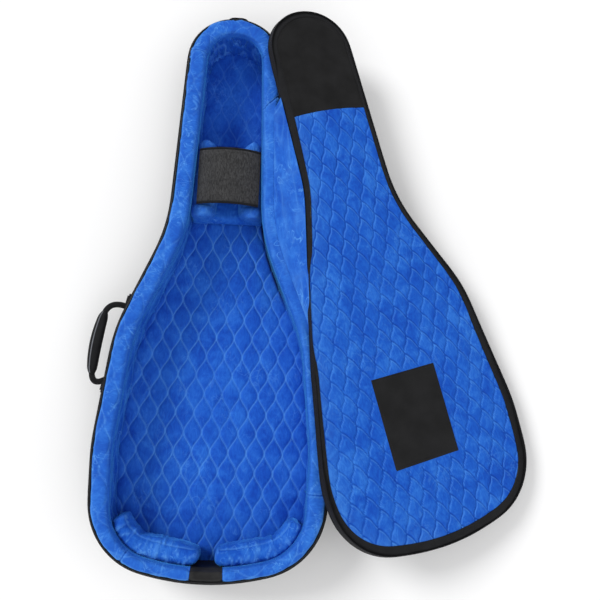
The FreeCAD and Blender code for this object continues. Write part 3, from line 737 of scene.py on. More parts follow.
def rim_points(stations, skews):
    """Outer face of the rolled rim and its wall, with cloth coordinates; seams may run askew."""
    whole = np.broadcast_to(stations[:, None], (len(stations), TOP_STEPS + WALL_STEPS)).astype(float)
    turn = np.linspace(math.pi, 0, TOP_STEPS)
    roll = 2 / RIM_POWER
    top_share = 0.5 - 0.5 * np.sign(np.cos(turn)) * np.abs(np.cos(turn)) ** roll
    down = np.linspace(0, 1, WALL_STEPS + 1)[1:]
    inward = np.r_[top_share, np.ones(WALL_STEPS)] - 0.5
    from_start = np.arange(len(stations))[:, None] * STEP
    from_end = from_start[::-1]
    fade = (1 - step_up(from_start, 0, SKEW_FADE)) * skews[0]
    fade = fade + (1 - step_up(from_end, 0, SKEW_FADE)) * skews[1]
    whole = whole + fade * inward[None, :] / STEP
    at, out = BASE.around(BASE.at, whole), BASE.around(BASE.out, whole)
    width = BASE.around(RIM, whole)
    top_inset = RIM_START + (width[:, :TOP_STEPS] - RIM_START) * top_share
    top_height = RIM_FOOT + (RIM_TOP - RIM_FOOT) * np.sin(turn).clip(0, 1) ** roll + 0 * top_inset
    wall_inset = width[:, TOP_STEPS:] - WALL_BOW * np.sin(math.pi * down)
    wall_height = RIM_FOOT + (FLOOR_TOP - 0.004 - RIM_FOOT) * down + 0 * wall_inset
    inset = np.hstack([top_inset, wall_inset])
    height = np.hstack([top_height, wall_height])
    points = np.dstack([at - out * inset[:, :, None], height])
    return points, whole * STEP, girth(points)


def within(value, low, high, fade):
    """1 between two limits, fading out beyond them."""
    return step_up(value, low - fade, low) * (1 - step_up(value, high, high + fade))


def eased_under_lid(z):
    """Heights eased down below the plane that the closed lid rests on."""
    top, ease = RIM_TOP + 0.0002, 0.0022
    over = np.maximum(z - (top - ease), 0)
    return np.where(over > 0, top - ease * np.exp(-over / ease), z)


def rim_height(points, u, v, seed, gathers, plain):
    """Quilting, creases and gathers of the lining, where its stitched lines run, and painted highlights on
    the gathers' and folds' ridges with painted shade between them.
    """
    wander = 0.010 * (noise(u, v, 0.08, seed + 6) - 0.5)
    gap = ogee_gap(v + wander - 0.012, u + wander, *WALL_OGEE)
    height = quilted(gap, 0.0016, 0.009) * (1 - plain) + crushed(u, v, seed)
    pleats = ridges(u + 0.006 * noise(u, v, 0.03, seed + 8), 0.10 * v, 0.013, seed + 9)
    folds = ridges(0.18 * u, v + 0.006 * noise(u, v, 0.03, seed + 10), 0.009, seed + 12)
    on_wall = step_up(v, 0.030, 0.050)
    on_top = 1 - step_up(v, 0.035, 0.055)
    puckers = ridges(u + 0.010 * noise(u, v, 0.03, seed + 15), 0.7 * v, 0.024, seed + 16)
    lumps = 0.0045 * (pleats - 0.3) + 0.0070 * (puckers - 0.35)
    height = height + gathers * on_wall * lumps + 0.0008 * plain * on_top * (folds - 0.3)
    strength = (0.30 + 0.8 * noise(u, v, 0.07, seed + 7)) * (1 - 0.8 * gathers * on_wall) * (1 - plain)
    beside_strap = within(points[:, :, 1], *STRAP_SPAN, 0.02)
    room = 0.0035 - 0.0045 * beside_strap * step_up(v, 0.034, 0.044)
    height = np.minimum(height, room)
    mark = 0.75 * stitch_mark(gap, 0.0011) * strength
    # painted highlights on the gathers' ridges, painted shade between them, and painted highlights on the
    # folds beside the web
    mark = mark + gathers * on_wall * (0.7 * pleats + 1.3 * puckers - 0.55)
    mark = mark + 0.30 * plain * on_top * folds
    return height, mark


# strength of the painted highlight along the rim's inner crown and outer edge
EDGE_HIGHLIGHT = 0.45
WALL_SHADE, FLOOR_SHADE = 2.4, 2.2


def beside_floor(x, y):
    """Where the lining lies in deep shade: along the hinge side beside the strap and the floor."""
    return step_up(x, 0, 0.02) * step_up(y, -0.06, 0.03) * (1 - step_up(y, 0.25, 0.36))


def rim_sector(name, stations, material, smooth=False, seed=3, skews=(0.0, 0.0), seams=(1.0, 1.0)):
    """One sewn length of the wall lining, closed behind and at its ends."""
    points, u, v = rim_points(stations, skews)
    gathers = step_up(points[:, :1, 1], 0.40, 0.50)
    beside_web = step_up(points[:, :1, 0], 0, 0.02) * step_up(points[:, :1, 1], -0.16, -0.10)
    beside_web = beside_web * (1 - step_up(points[:, :1, 1], 0.372, 0.392))
    height, mark = rim_height(points, u, v, seed, gathers, beside_web)
    if smooth:
        height, mark = 0.0006 * (noise(u, v, 0.02, seed) - 0.5), 0 * mark
    along = stations[:, None] * STEP + 0 * v
    from_first, from_last = along - along[:1], along[-1:] - along
    seam = np.minimum(from_first, from_last)
    sewn = np.where(from_first < from_last, seams[0], seams[1])
    tuck = np.exp(-(seam / 0.0030) ** 2) * sewn
    puckers = sewn * np.exp(-seam / 0.02) * 0.0007 * np.sin(v / 0.0021 + 6 * noise(u, v, 0.02, seed + 4))
    height = height * (1 - tuck) - 0.0022 * tuck + puckers
    edge = step_up(v, 0.0, 0.006)
    front = raised(points, (height - 0.0012) * edge, (0, 0, 1))
    front[:, :, 2] = eased_under_lid(front[:, :, 2])
    crown_end = v[:, TOP_STEPS - 5:TOP_STEPS - 4]
    # painted highlight along the crown's inner edge and along the rim's outer edge
    edge_highlight = np.exp(-((v - crown_end) / 0.0026) ** 2) * (0.5 + 1.1 * noise(u, v, 0.03, seed + 13))
    edge_highlight = edge_highlight + 0.5 * np.exp(-((v - 0.0075) / 0.002) ** 2) * (0.3 + noise(u, v, 0.04, seed + 14))
    lip = sewn * np.exp(-((seam - 0.0030) / 0.0016) ** 2) * (1 - step_up(v, 0.05, 0.07))
    # rim top lightened as painted light; painted highlight on the lips beside seams, painted shade in their
    # tucks
    mark = mark * edge + 0.10 * (1 - step_up(v, 0.035, 0.06)) + EDGE_HIGHLIGHT * edge_highlight + 0.7 * lip - 0.35 * tuck
    if not smooth:
        shaded = beside_floor(points[:, :1, 0], points[:, :1, 1]) * step_up(v - crown_end, 0.004, 0.010)
        mark = mark - WALL_SHADE * shaded
    last, first = points[:, -1:], points[:, :1]
    out = np.dstack([BASE.out[stations % BASE.count][:, None, :], np.zeros((len(stations), 1, 1))])
    inner = [last + out * 0.0045, last + out * 0.0045 + [0, 0, WALL_TOP - 0.006 - FLOOR_TOP]]
    outer = [first - out * 0.004 + [0, 0, -0.004]]
    grid = pressed(np.hstack([front] + inner + outer))
    mark = np.hstack([mark, np.zeros((len(stations), 3))])
    points, faces = swept(grid, False)
    node = name.replace("_cloth", "")
    made = piece(name, "base", material, points, faces, cloth_map(u, v, 3), mark, (node,))
    return made


def station_near(x, y):
    """Index on the outline whose mid-rim point is nearest to a place."""
    middle = BASE.inset(RIM / 2)
    return int(np.argmin(((middle - [x, y]) ** 2).sum(1)))


def node_edge(node, axis, side):
    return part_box(node)[side][axis]


HEAD_SEAM_HALF, UPPER_SEAM_X = 0.075, 0.085
HEAD_SEAM = node_edge("wall_lining_head", 1, 0)
UPPER_SEAM = node_edge("wall_lining_right_upper", 1, 0)
LOWER_SEAM = node_edge("wall_lining_right", 1, 0)
RIGHT_X = node_edge("side_wall", 0, 1)
TAIL_Y = node_edge("side_wall", 1, 0)
SHIELD_LEFT = node_edge("endpin_shield", 0, 0)
SHIELD_RIGHT = node_edge("endpin_shield", 0, 1)
TAIL_SEAM = node_edge("wall_lining_tail_left", 0, 0)
cuts = {
    "right_head": station_near(HEAD_SEAM_HALF, HEAD_SEAM),
    "right_upper": station_near(UPPER_SEAM_X, UPPER_SEAM),
    "right_lower": station_near(RIGHT_X - 0.02, LOWER_SEAM),
    "shield_right": station_near(SHIELD_RIGHT, TAIL_Y + 0.012),
    "shield_left": station_near(SHIELD_LEFT, TAIL_Y + 0.012),
    "tail_left": station_near(TAIL_SEAM, TAIL_Y + 0.05),
    "left_head": station_near(-HEAD_SEAM_HALF, HEAD_SEAM),
}
spans = {
    "wall_lining_head": (cuts["left_head"] - BASE.count, cuts["right_head"]),
    "wall_lining_right_upper": (cuts["right_head"], cuts["right_upper"]),
    "wall_lining_right": (cuts["right_upper"], cuts["right_lower"]),
    "wall_lining_tail_right": (cuts["right_lower"], cuts["shield_right"]),
    "endpin_shield": (cuts["shield_right"], cuts["shield_left"]),
    "wall_lining_tail_left": (cuts["shield_left"], cuts["tail_left"]),
    "wall_lining_left": (cuts["tail_left"], cuts["left_head"]),
}
UPPER_SKEW = 0.027
skewed = {"wall_lining_right_upper": (0.0, UPPER_SKEW), "wall_lining_right": (UPPER_SKEW, 0.0)}
HIDDEN_SEAM = 0.2
sewn_ends = {
    "wall_lining_head": (HIDDEN_SEAM, HIDDEN_SEAM), "wall_lining_right_upper": (HIDDEN_SEAM, 1.0),
    "wall_lining_left": (1.0, HIDDEN_SEAM),
}
for number, (name, (start, end)) in enumerate(spans.items()):
    stations = np.arange(start, end + 1)
    if name == "endpin_shield":
        rim_sector(name + "_cloth", stations, SHIELD_VINYL, True)
    else:
        skews = skewed.get(name, (0.0, 0.0))
        seams = sewn_ends.get(name, (1.0, 1.0))
        rim_sector(name + "_cloth", stations, VELVET, False, 11 + 7 * number, skews, seams)

# ---------------------------------------------------------------- base: floor
CAVITY = BASE.inset(RIM + 0.0003)
FLOOR_EDGE = BASE.inset(RIM - 0.0025)
SPLIT_Y = node_edge("head_floor_pad", 1, 0)
FLOOR_COLUMNS = 180


def floor_piece(name, node, y_low, y_high, depth, seed):
    grid = rows_over(FLOOR_EDGE, FLOOR_COLUMNS, 1, y_low, y_high)
    x, y = grid[:, :, 0], grid[:, :, 1]
    gap = ogee_gap(x, y, *FLOOR_OGEE)
    height = quilted(gap, depth, 0.007) + 0.6 * crushed(x, y, seed)
    height = np.minimum(height - depth * 0.75, 0.0004)
    front = np.dstack([grid, FLOOR_TOP + height])
    points, faces = backed(front, FLOOR_LOW + 0.0002)
    strength = (0.35 + 0.7 * noise(x, y, 0.09, seed + 3)) * min(depth / 0.002, 1)
    lines = stitch_mark(gap, 0.0012) * strength
    left_gap, right_gap = x - x[:, :1], x[:, -1:] - x
    # painted shade along the floor's edges where they meet the walls
    lines = lines - 0.5 * np.exp(-(np.minimum(left_gap, right_gap) / 0.007) ** 2)
    lines = lines - FLOOR_SHADE * beside_floor(x, y) * np.exp(-(right_gap / 0.0085) ** 4)
    mark = np.r_[lines.ravel(), np.zeros(len(points) - x.size)]
    made = piece(name, "base", VELVET_FLOOR, points, faces, points * FLAT, mark, (node,))


floor_piece("floor_quilt", "floor_lining", -EVERYWHERE, SPLIT_Y - 0.0004, 0.0030, 31)
floor_piece("head_floor_quilt", "head_floor_pad", SPLIT_Y, EVERYWHERE, 0.0008, 37)

# ---------------------------------------------------------------- base: outer shell
LAYERS = 26
WALL_BULGE = 0.0022
WALL_CLOTH = 0.0018  # thickness of the outer wall's cloth


def wall_skin():
    """Outer wall cloth, gently bulged between the zip and the back piping, closed behind."""
    share = np.linspace(0, 1, LAYERS)
    z = BACK_TOP + 0.0006 + (WALL_TOP - BACK_TOP - 0.0008) * share
    u = np.arange(BASE.count)[:, None] * STEP + 0 * share
    v = z[None, :] + 0 * u
    bulge = WALL_BULGE * np.sin(math.pi * share)[None, :]
    around = 2 * math.pi * np.arange(BASE.count)[:, None] / BASE.count
    u_noise = 0.4 * np.cos(around) + 0 * v
    v_noise = 0.4 * np.sin(around) + v
    ripple = 0.0022 * (noise(u_noise, v_noise, 0.05, 51) - 0.5)
    ripple = ripple + 0.0009 * (ridges(u_noise, v_noise, 0.03, 52) - 0.2)
    inset = PANEL_INSET - (bulge + ripple) * step_up(share, 0, 0.1) * step_up(1 - share, 0, 0.08)
    flat = BASE.at[:, None, :] - BASE.out[:, None, :] * inset[:, :, None]
    outer = np.dstack([flat, v])
    inner_flat = BASE.inset(PANEL_INSET + WALL_CLOTH)
    inner = [lifted(inner_flat, z[-1]), lifted(inner_flat, z[0])]
    grid = np.hstack([outer] + [part[:, None, :] for part in inner])
    points, faces = swept(pressed(grid, 0.012), True)
    made = piece(
        "side_wall_cloth", "base", NYLON, points, faces, cloth_map(u, v, 2),
        replaces=("side_wall",),
    )


wall_skin()

panel_rows = rows_over(BASE.inset(PANEL_INSET + 0.0004), 90, 3)
dent = 0.0009 * noise(panel_rows[:, :, 0], panel_rows[:, :, 1], 0.07, 61)
edge_gap = BASE.distance(panel_rows[:, :, 0], panel_rows[:, :, 1])
under = dent * step_up(edge_gap, 0.004, 0.03) + 0.0006 * stitch_mark(edge_gap - 0.012, 0.0012)
points, faces = backed(np.dstack([panel_rows, under]), BACK_TOP)
piece(
    "back_panel_cloth", "base", NYLON, points, faces, points * FLAT,
    replaces=("back_panel",), sharp=50,
)

piping_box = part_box("back_piping")
back_cord = lifted(BASE.inset(-0.0004), (piping_box[0].z + piping_box[1].z) / 2)
rim_cord = pressed(lifted(BASE.inset(0.0019), WALL_TOP + 0.0022), 0.0025)
for node, cord, radius in (("back_piping", back_cord, 0.0019), ("base_piping", rim_cord, 0.0018)):
    points, faces, cloth = tube(cord, radius, True)
    piece(node + "_cord", "base", PIPING, points, faces, cloth, replaces=(node,))

# ---------------------------------------------------------------- zips
TEETH_PITCH = 0.0021
TOOTH = (0.0013, 0.0016, 0.0026)
TAPE_THICK = 0.0010


def zip_band(name, body, line, out, z_low, z_high, teeth_z, node, opened=False, closed=False, lean=0.0):
    """Woven zip tape with stitched edges and a coil of teeth standing out of it."""
    share = np.array([0.0, 0.02, 0.5, 0.98, 1.0])
    z_low = np.broadcast_to(z_low, len(line))
    z = z_low[:, None] + (z_high - z_low)[:, None] * share
    proud = np.array([0.0, 0.0004, 0.0005, 0.0004, 0.0]) - lean * (1 - share)
    outer = np.dstack([line[:, None, :] + out[:, None, :] * proud[None, :, None], z])
    behind = [lifted(line - out * TAPE_THICK, z_high), lifted(line - out * (TAPE_THICK + lean), z_low)]
    grid = np.hstack([outer] + [edge[:, None, :] for edge in behind])
    tape = swept(grid, closed)
    path = lifted(line + out * 0.0009, teeth_z)
    centres, runs = at_pitch(path, TEETH_PITCH, closed)
    sides = np.column_stack([-runs[:, 1], runs[:, 0], 0 * runs[:, 0]])
    ups = np.tile(UP, (len(runs), 1))
    coil = blocks(centres, runs, sides, ups, TOOTH)
    cord = tube(path, 0.0007, closed, 6)[:2]
    for kind, parts, material in (("_tape", [tape], ZIP_TAPE), ("_coil", [coil, cord], COIL)):
        points, faces = merged(*parts)
        cloth = np.column_stack([points[:, 1], points[:, 2], points[:, 0]])
        if opened:
            points = turned(points, OPEN_ANGLE)
        replaced = (node,) if kind == "_tape" else ()
        piece(name + kind, body, material, points, faces, cloth, replaces=replaced, sharp=40)


def zip_stations(outline, y_low, y_high):
    """Stations of an outline apart from its hinge side between two heights of y."""
    x, y = outline.at.T
    hinge_side = (x > 0) & (y > y_low) & (y < y_high)
    first = int(np.argmax(hinge_side))
    count = int(hinge_side.sum())
    return np.arange(first + count, first + outline.count) % outline.count


zip_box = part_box("base_zip")
open_low = node_edge("zip_slider_lower", 1, 1) + 0.12
open_high = node_edge("zip_slider_upper", 1, 0) - 0.012
kept = zip_stations(BASE, open_low, open_high)
zip_z = (zip_box[0].z, zip_box[1].z)
zip_line = BASE.inset(PANEL_INSET - 0.0024)[kept]
zip_band("base_zip", "base", zip_line, BASE.out[kept], *zip_z, zip_z[1] - 0.0017, "base_zip")

# ---------------------------------------------------------------- swelling by cloth simulation
SWELL_FRAMES = 20
SWELL_PRESSURE = 4.0
BUMPER_VOXEL, BUMPER_REACH = 0.0045, 0.005
CRADLE_VOXEL, CRADLE_REACH = 0.004, 0.0035


def new_mesh_of(obj):
    """The object's mesh with its modifiers applied."""
    graph = bpy.context.evaluated_depsgraph_get()
    return bpy.data.meshes.new_from_object(obj.evaluated_get(graph))


def of_vertices(mesh, kind):
    """Coordinates ("co") or normals ("normal") of a mesh's points."""
    flat = np.zeros(len(mesh.vertices) * 3, np.float32)
    mesh.vertices.foreach_get(kind, flat)
    return flat.reshape(-1, 3).astype(float)


def swelled(name, points, faces, voxel, reach):
    """Closed shape remeshed and blown up as cloth; no point moves further than reach."""
    mesh = bpy.data.meshes.new(name + "_shape")
    mesh.from_pydata(np.asarray(points).tolist(), [], faces)
    obj = in_scene(name + "_shape", mesh)
    remesh = obj.modifiers.new("remesh", "REMESH")
    remesh.mode = "VOXEL"
    remesh.voxel_size = voxel
    obj.data = new_mesh_of(obj)
    obj.modifiers.clear()
    rest = of_vertices(obj.data, "co")
    cloth = obj.modifiers.new("cloth", "CLOTH")
    cloth.settings.quality = 5
    cloth.settings.use_pressure = True
    cloth.settings.uniform_pressure_force = SWELL_PRESSURE
    cloth.settings.effector_weights.gravity = 0.0
    cloth.point_cache.frame_start = 1
    cloth.point_cache.frame_end = SWELL_FRAMES
    for number in range(1, SWELL_FRAMES + 1):
        bpy.context.scene.frame_set(number)
    moved = of_vertices(new_mesh_of(obj), "co") - rest
    obj.modifiers.clear()
    length = np.linalg.norm(moved, axis=1)[:, None]
    rest = rest + moved * np.minimum(1.0, reach / np.maximum(length, 1e-9))
    obj.data.vertices.foreach_set("co", rest.astype(np.float32).ravel())
    bpy.context.scene.frame_set(1)
    smooth = obj.modifiers.new("smooth", "SMOOTH")
    smooth.iterations = 3
    obj.modifiers.new("finer", "SUBSURF").levels = 1
    made = new_mesh_of(obj)
    faces = [tuple(face.vertices) for face in made.polygons]
    bpy.data.objects.remove(obj)
    return of_vertices(made, "co"), faces, of_vertices(made, "normal")


# ---------------------------------------------------------------- tail bumpers


def section(sides, power):
    """Across and up shares round a rounded-square ring."""
    turn = np.linspace(0, 2 * math.pi, sides, endpoint=False)
    across = np.sign(np.cos(turn)) * np.abs(np.cos(turn)) ** (2 / power)
    upward = np.sign(np.sin(turn)) * np.abs(np.sin(turn)) ** (2 / power)
    return across, upward


def deeper_inboard(x):
    """Extra depth of a bumper towards the middle of the bag."""
    return 0.006 * step_up(-np.abs(x), -0.17, -0.10)


def bumper(name, node, seed):
    """Stuffed roll against the tail wall, with creases pinched in from its two top seams."""
    index = bumper_stations(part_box(node))
    depth = 0.036 + deeper_inboard(BASE.at[index, 0])
    taper = rounded_taper(np.arange(len(index)) * STEP, 0.018)
    centre_inset = RIM[index] - 0.0020 + depth / 2
    top = BUMPER_TOP + 0.004
    middle = (FLOOR_TOP + top) / 2
    half_high = (top - FLOOR_TOP) / 2
    across, upward = section(36, 3.8)
    inset = centre_inset[:, None] + (depth / 2 - 0.0025)[:, None] * taper[:, None] * across
    high = middle + half_high * (0.75 + 0.25 * taper)[:, None] * upward
    flat = BASE.at[index][:, None, :] - BASE.out[index][:, None, :] * inset[:, :, None]
    points, faces = swept(np.dstack([flat, high])[::2], False)
    points, faces, normals = swelled(name, points, faces, BUMPER_VOXEL, BUMPER_REACH)
    near, station = BASE.nearest(points[:, :2])
    around = station * STEP
    roll = near - RIM[station] + 0.002
    far_seam = 0.031 + deeper_inboard(points[:, 0])
    crown = step_up(points[:, 2], BUMPER_TOP - 0.02, BUMPER_TOP - 0.004)
    seam_gap = np.minimum(np.abs(roll - 0.0045), np.abs(roll - far_seam))
    pinch = ridges(around * 1.3 + 0.006 * noise(around, roll, 0.02, seed), roll * 0.30, 0.012, seed + 1)
    near_seam = 0.5 + 0.9 * np.exp(-seam_gap / 0.006)
    height = 0.0022 * (pinch - 0.35) * near_seam
    height += 0.0016 * (noise(around, points[:, 2], 0.015, seed + 2) - 0.5)
    height -= 0.0012 * crown * stitch_mark(seam_gap, 0.0016)
    height *= step_up(roll, -0.001, 0.006)
    points = points + normals * height[:, None]
    # painted highlights on the pinched pleats, on the lit top of the roll only
    pleat_highlights = pinch ** 2 * (0.5 + 0.7 * noise(around, roll, 0.02, seed + 3))
    mark = crown * (0.8 * stitch_mark(seam_gap, 0.0014) + 0.9 * pleat_highlights - 0.12) + 0.08
    made = piece(name, "base", VELVET, points, faces, points, mark, (node,))


def bumper_stations(node_box):
    x, y = BASE.inset(RIM + 0.015).T
    inside = (x > node_box[0].x + 0.001) & (x < node_box[1].x - 0.0015) & (y < node_box[1].y - 0.001)
    return np.flatnonzero(inside & (y < 0))


bumper("bumper_left_roll", "bumper_left", 71)
bumper("bumper_right_roll", "bumper_right", 83)

# ---------------------------------------------------------------- neck cradle
cradle_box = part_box("neck_cradle")
strap_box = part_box("neck_strap")
CHANNEL_HALF = 0.030
CHANNEL_FLOOR = 0.055
CRADLE_GRID = 90
CRADLE_POWER = 2.8  # squareness of the lobes


def cradle():
    """Padded saddle: two stuffed lobes with the neck's channel between them."""
    y = np.linspace(cradle_box[0].y + 0.001, cradle_box[1].y - 0.001, CRADLE_GRID)
    left, right = side_edges(CAVITY, y)
    left, right = left + 0.002, right - 0.002
    x = left[:, None] + (right - left)[:, None] * np.linspace(0, 1, CRADLE_GRID)
    end_gap = np.minimum(y - y[0], y[-1] - y)[:, None]
    plan = rounded(end_gap, 0.020)
    side = np.where(x > 0, right[:, None], -left[:, None])
    centre = (side + CHANNEL_HALF) / 2 - 0.001
    half = (side - CHANNEL_HALF) / 2 + 0.004
    reach = np.clip(np.abs(np.abs(x) - centre) / np.maximum(half * plan, 1e-4), 0, 1)
    dome = (1 - reach ** CRADLE_POWER) ** (1 / CRADLE_POWER)
    under_strap = within(y, *STRAP_SPAN, 0.008)
    top = CRADLE_TOP - 0.004 + 0.006 * (1 - under_strap[:, None])
    low = FLOOR_TOP + 0.006 + (CHANNEL_FLOOR - FLOOR_TOP - 0.010) * np.clip(end_gap / 0.012, 0, 1) ** 0.5
    z = low + (top - low) * dome
    front = np.dstack([x, np.repeat(y[:, None], CRADLE_GRID, 1), z])
    points, faces = backed(front, FLOOR_TOP + 0.002)
    points, faces, normals = swelled("neck_cradle_pad", points, faces, CRADLE_VOXEL, CRADLE_REACH)
    u, v = points[:, 0] + 0.5 * points[:, 2], points[:, 1]
    points = points + normals * (1.6 * crushed(u, v, 95) - 0.0004)[:, None]
    # painted highlight on the lobes' upper parts and their creases
    high = step_up(points[:, 2], CHANNEL_FLOOR, CRADLE_TOP - 0.004)
    mark = high * (0.18 + 0.35 * ridges(u, v, 0.018, 96))
    made = piece(
        "neck_cradle_pad", "base", VELVET, points, faces, points, mark, ("neck_cradle",),
    )


cradle()

# ---------------------------------------------------------------- neck strap
STRAP_HALF = strap_box[1].x
STRAP_LOW = strap_box[0].z
FELT_THICK, BINDING_THICK = 0.0036, 0.0052
STRAP_RISE = strap_box[1].z - FELT_THICK - STRAP_LOW
STRAP_CLEAR = 0.0012  # room for the left end to turn against the wall
STRAP_COLUMNS = 90


def strap_slice(name, node, y_low, y_high, thick, material, slot, seed, round_edge):
    """Arched cloth band with soft long edges."""
    across = np.linspace(-1, 1, STRAP_COLUMNS)
    radius = (STRAP_HALF ** 2 + STRAP_RISE ** 2) / (2 * STRAP_RISE)
    x = across * (STRAP_HALF - STRAP_CLEAR) + STRAP_CLEAR
    base = STRAP_LOW + FELT_THICK / 2 + np.sqrt(radius ** 2 - x ** 2) - (radius - STRAP_RISE)
    steps = max(6, int((y_high - y_low) / 0.0025))
    y = np.linspace(y_low, y_high, steps)
    edge = np.minimum(y - y_low, y_high - y)[:, None]
    half = thick / 2 * rounded(edge, round_edge, 0.06)
    grid_x, grid_y = np.meshgrid(x, y)
    waves = 0.0011 * (noise(grid_x, grid_y, 0.035, seed) - 0.5)
    waves = waves + 0.0003 * noise(grid_x, grid_y, 0.004, seed + 1)
    top = np.dstack([grid_x, grid_y, base + half + waves])
    low = np.dstack([grid_x, grid_y, base - half + waves])
    grid = np.vstack([top, low[::-1]])
    index = np.arange(grid.shape[0] * STRAP_COLUMNS).reshape(-1, STRAP_COLUMNS)
    faces = quads_of(np.vstack([index, index[:1]]))
    faces += [tuple(index[:, 0].tolist()), tuple(index[:, -1].tolist())]
    return piece(name, "neck_strap", material, grid, faces, grid * FLAT, replaces=(node,), sharp=60)


def hem_distance(x, y):
    """Distance of a rectangular grid's points from its own border."""
    return np.minimum(np.minimum(x - x.min(), x.max() - x), np.minimum(y - y.min(), y.max() - y))


strap_y = (strap_box[0].y - 0.0002, strap_box[1].y + 0.0002)
strap = strap_slice("neck_strap_felt", "neck_strap", *strap_y, FELT_THICK, FELT, "black_felt", 101, 0.0008)
for node in ("strap_binding_lower", "strap_binding_upper"):
    span = (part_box(node)[0].y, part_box(node)[1].y)
    tape = strap_slice(node + "_tape", node, *span, BINDING_THICK, WEBBING, "black_webbing", 103, 0.0024)
for node in ("strap_anchor", "strap_hook_patch"):
    low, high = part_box(node)
    share = np.linspace(0, 1, 24)
    x = low.x + 0.0006 + (high.x - low.x - 0.0012) * share
    y = low.y + 0.007 + (high.y - low.y - 0.014) * share
    x, y = np.meshgrid(x, y)
    z = high.z - 0.0006 * np.exp(-hem_distance(x, y) / 0.001) - 0.0002 * noise(x, y, 0.006, 105)
    points, faces = backed(np.dstack([x, y, z]), low.z - 0.001)
    patch = piece(node + "_felt", "base", FELT, points, faces, points * FLAT, replaces=(node,))

# ---------------------------------------------------------------- lid: quilted lining
BAND_WIDE, BAND_NARROW, BAND_TAIL = 0.0195, 0.0012, 0.0215
BULGE_Y, BULGE_HALF, BULGE_FADE = -0.05, 0.062, 0.130
LINING_BACK = closed_box("lid_lining")[1][2]
PUFF = 0.0026  # how far the lining sags into the open cavity
EDGE_DROP = 0.0018  # how far its sewn edge is drawn in


def band_width():
    """Distance from the lid's outer edge to the lining, which bulges out over the hinge."""
    y = LID.at[:, 1]
    from_bulge = np.abs(y - BULGE_Y)
    hinge_side = BAND_NARROW + 0.0085 * step_up(from_bulge, BULGE_HALF, BULGE_FADE)
    hinge_side = hinge_side + 0.006 * step_up(from_bulge, 0.15, 0.45)
    zip_side = BAND_WIDE - 0.0065 * step_up(y, -0.22, 0.0)
    towards_hinge = step_up(LID.out[:, 0], -0.5, 0.5)
    width = zip_side + (hinge_side - zip_side) * towards_hinge
    at_tail = np.maximum(-LID.out[:, 1], 0) ** 2
    return smoothed(width + (BAND_TAIL - width) * at_tail, 0.015)


BAND = band_width()
LINED = LID.inset(BAND)
head_loop = face_loop("lid_head_panel", closed_box("lid_head_panel")[0][2], True)
arched = head_loop[head_loop[:, 1] < head_loop[:, 1].min() + 0.009]
ARCH = np.polyfit(arched[:, 0], arched[:, 1], 2)


def arch_y(x):
    return np.polyval(ARCH, x)


def lid_grid(y_low, y_high, columns, thin=2):
    """Rows over the lined area whose ends follow the arched seam below the head panel."""
    grid = rows_over(LINED, columns, thin, y_low, y_high)
    seam_y = arch_y(0.0)
    near_seam = 1 - np.clip(np.abs(grid[:, :, 1] - seam_y) / 0.06, 0, 1)
    grid[:, :, 1] += (arch_y(grid[:, :, 0]) - seam_y) * near_seam
    left, right = (edge.reshape(grid.shape[:2]) for edge in side_edges(LINED, grid[:, :, 1].ravel()))
    share = np.linspace(0, 1, columns)
    inside = (grid[:, :, 1] > LINED[:, 1].min() + 0.004) & (grid[:, :, 1] < LINED[:, 1].max() - 0.004)
    grid[:, :, 0] = np.where(inside, left + (right - left) * share, grid[:, :, 0])
    return grid


LINING_EDGE = Outline(LINED)
RIM_LINE = Outline(CAVITY)
patch_low, patch_high = closed_box("bridge_patch")


def patch_share(x, y, margin):
    """1 on the bridge patch, fading out a little beyond its edge."""
    middle = (patch_low + patch_high) / 2
    half = (patch_high - patch_low) / 2
    beyond = np.maximum(np.abs(x - middle[0]) - half[0], np.abs(y - middle[1]) - half[1])
    return step_up(-beyond, -margin, 0.002)


def lining_height(x, y, edge_gap):
    """How far the closed lid's lining hangs below its seam plane, and its marks: stitched lines with painted
    shade and highlight, and a painted highlight along the hinge side.
    """
    gap = leaf_gap(x, y)
    left, right = (edge.reshape(x.shape) for edge in side_edges(CAVITY, y.ravel()))
    over_cavity = (x > left) & (x < right)
    sag = PUFF * step_up(np.where(over_cavity, RIM_LINE.distance(x, y), 0), 0.0, 0.05)
    flat = patch_share(x, y, 0.012)
    quilt = quilted(np.abs(gap), 0.0017, 0.0050) - 0.0022 + 0.35 * crushed(x, y, 201) - 0.0002
    hang = sag + quilt * (1 - flat) - 0.0012 * flat
    hang = np.minimum((hang + EDGE_DROP) * rounded(edge_gap, 0.010) - EDGE_DROP, sag + 0.0002)
    hang = np.maximum(hang, -EDGE_DROP - 0.006 * step_up(LID.distance(x, y), FOAM_EDGE, FOAM_EDGE + 0.006))
    # painted highlight along the lining's edge on the hinge side, where it bulges
    hinge_highlight = 0.30 * np.exp(-edge_gap / 0.016) * step_up(x - 0.5 * (left + right), 0, 0.03)
    strength = 0.65 + 0.5 * noise(x, y, 0.06, 303)
    return hang, seam_shade_and_highlight(gap) * strength * (1 - flat) + hinge_highlight


FOAM_EDGE = LID_BAND + 0.0005
SEAM_SLIVER = 0.0003
SEAM_Y = float(arch_y(0.0))
QUILT_COLUMNS, SHIELD_COLUMNS = 190, 90
grid = lid_grid(-EVERYWHERE, SEAM_Y, QUILT_COLUMNS, 1)
x, y = grid[:, :, 0], grid[:, :, 1]
edge_gap = np.minimum(LINING_EDGE.distance(x, y), np.maximum(arch_y(x) - y, 0) + SEAM_SLIVER)
hang, mark = lining_height(x, y, edge_gap)
points, faces = backed(np.dstack([grid, LID_LOW - hang]), LINING_BACK)
mark = np.r_[mark.ravel(), np.zeros(len(points) - x.size)]
lining = lid_piece(
    "lid_lining_quilt", "blue_velvet", VELVET_LID, points, faces, points * FLAT, mark, ("lid_lining",),
)

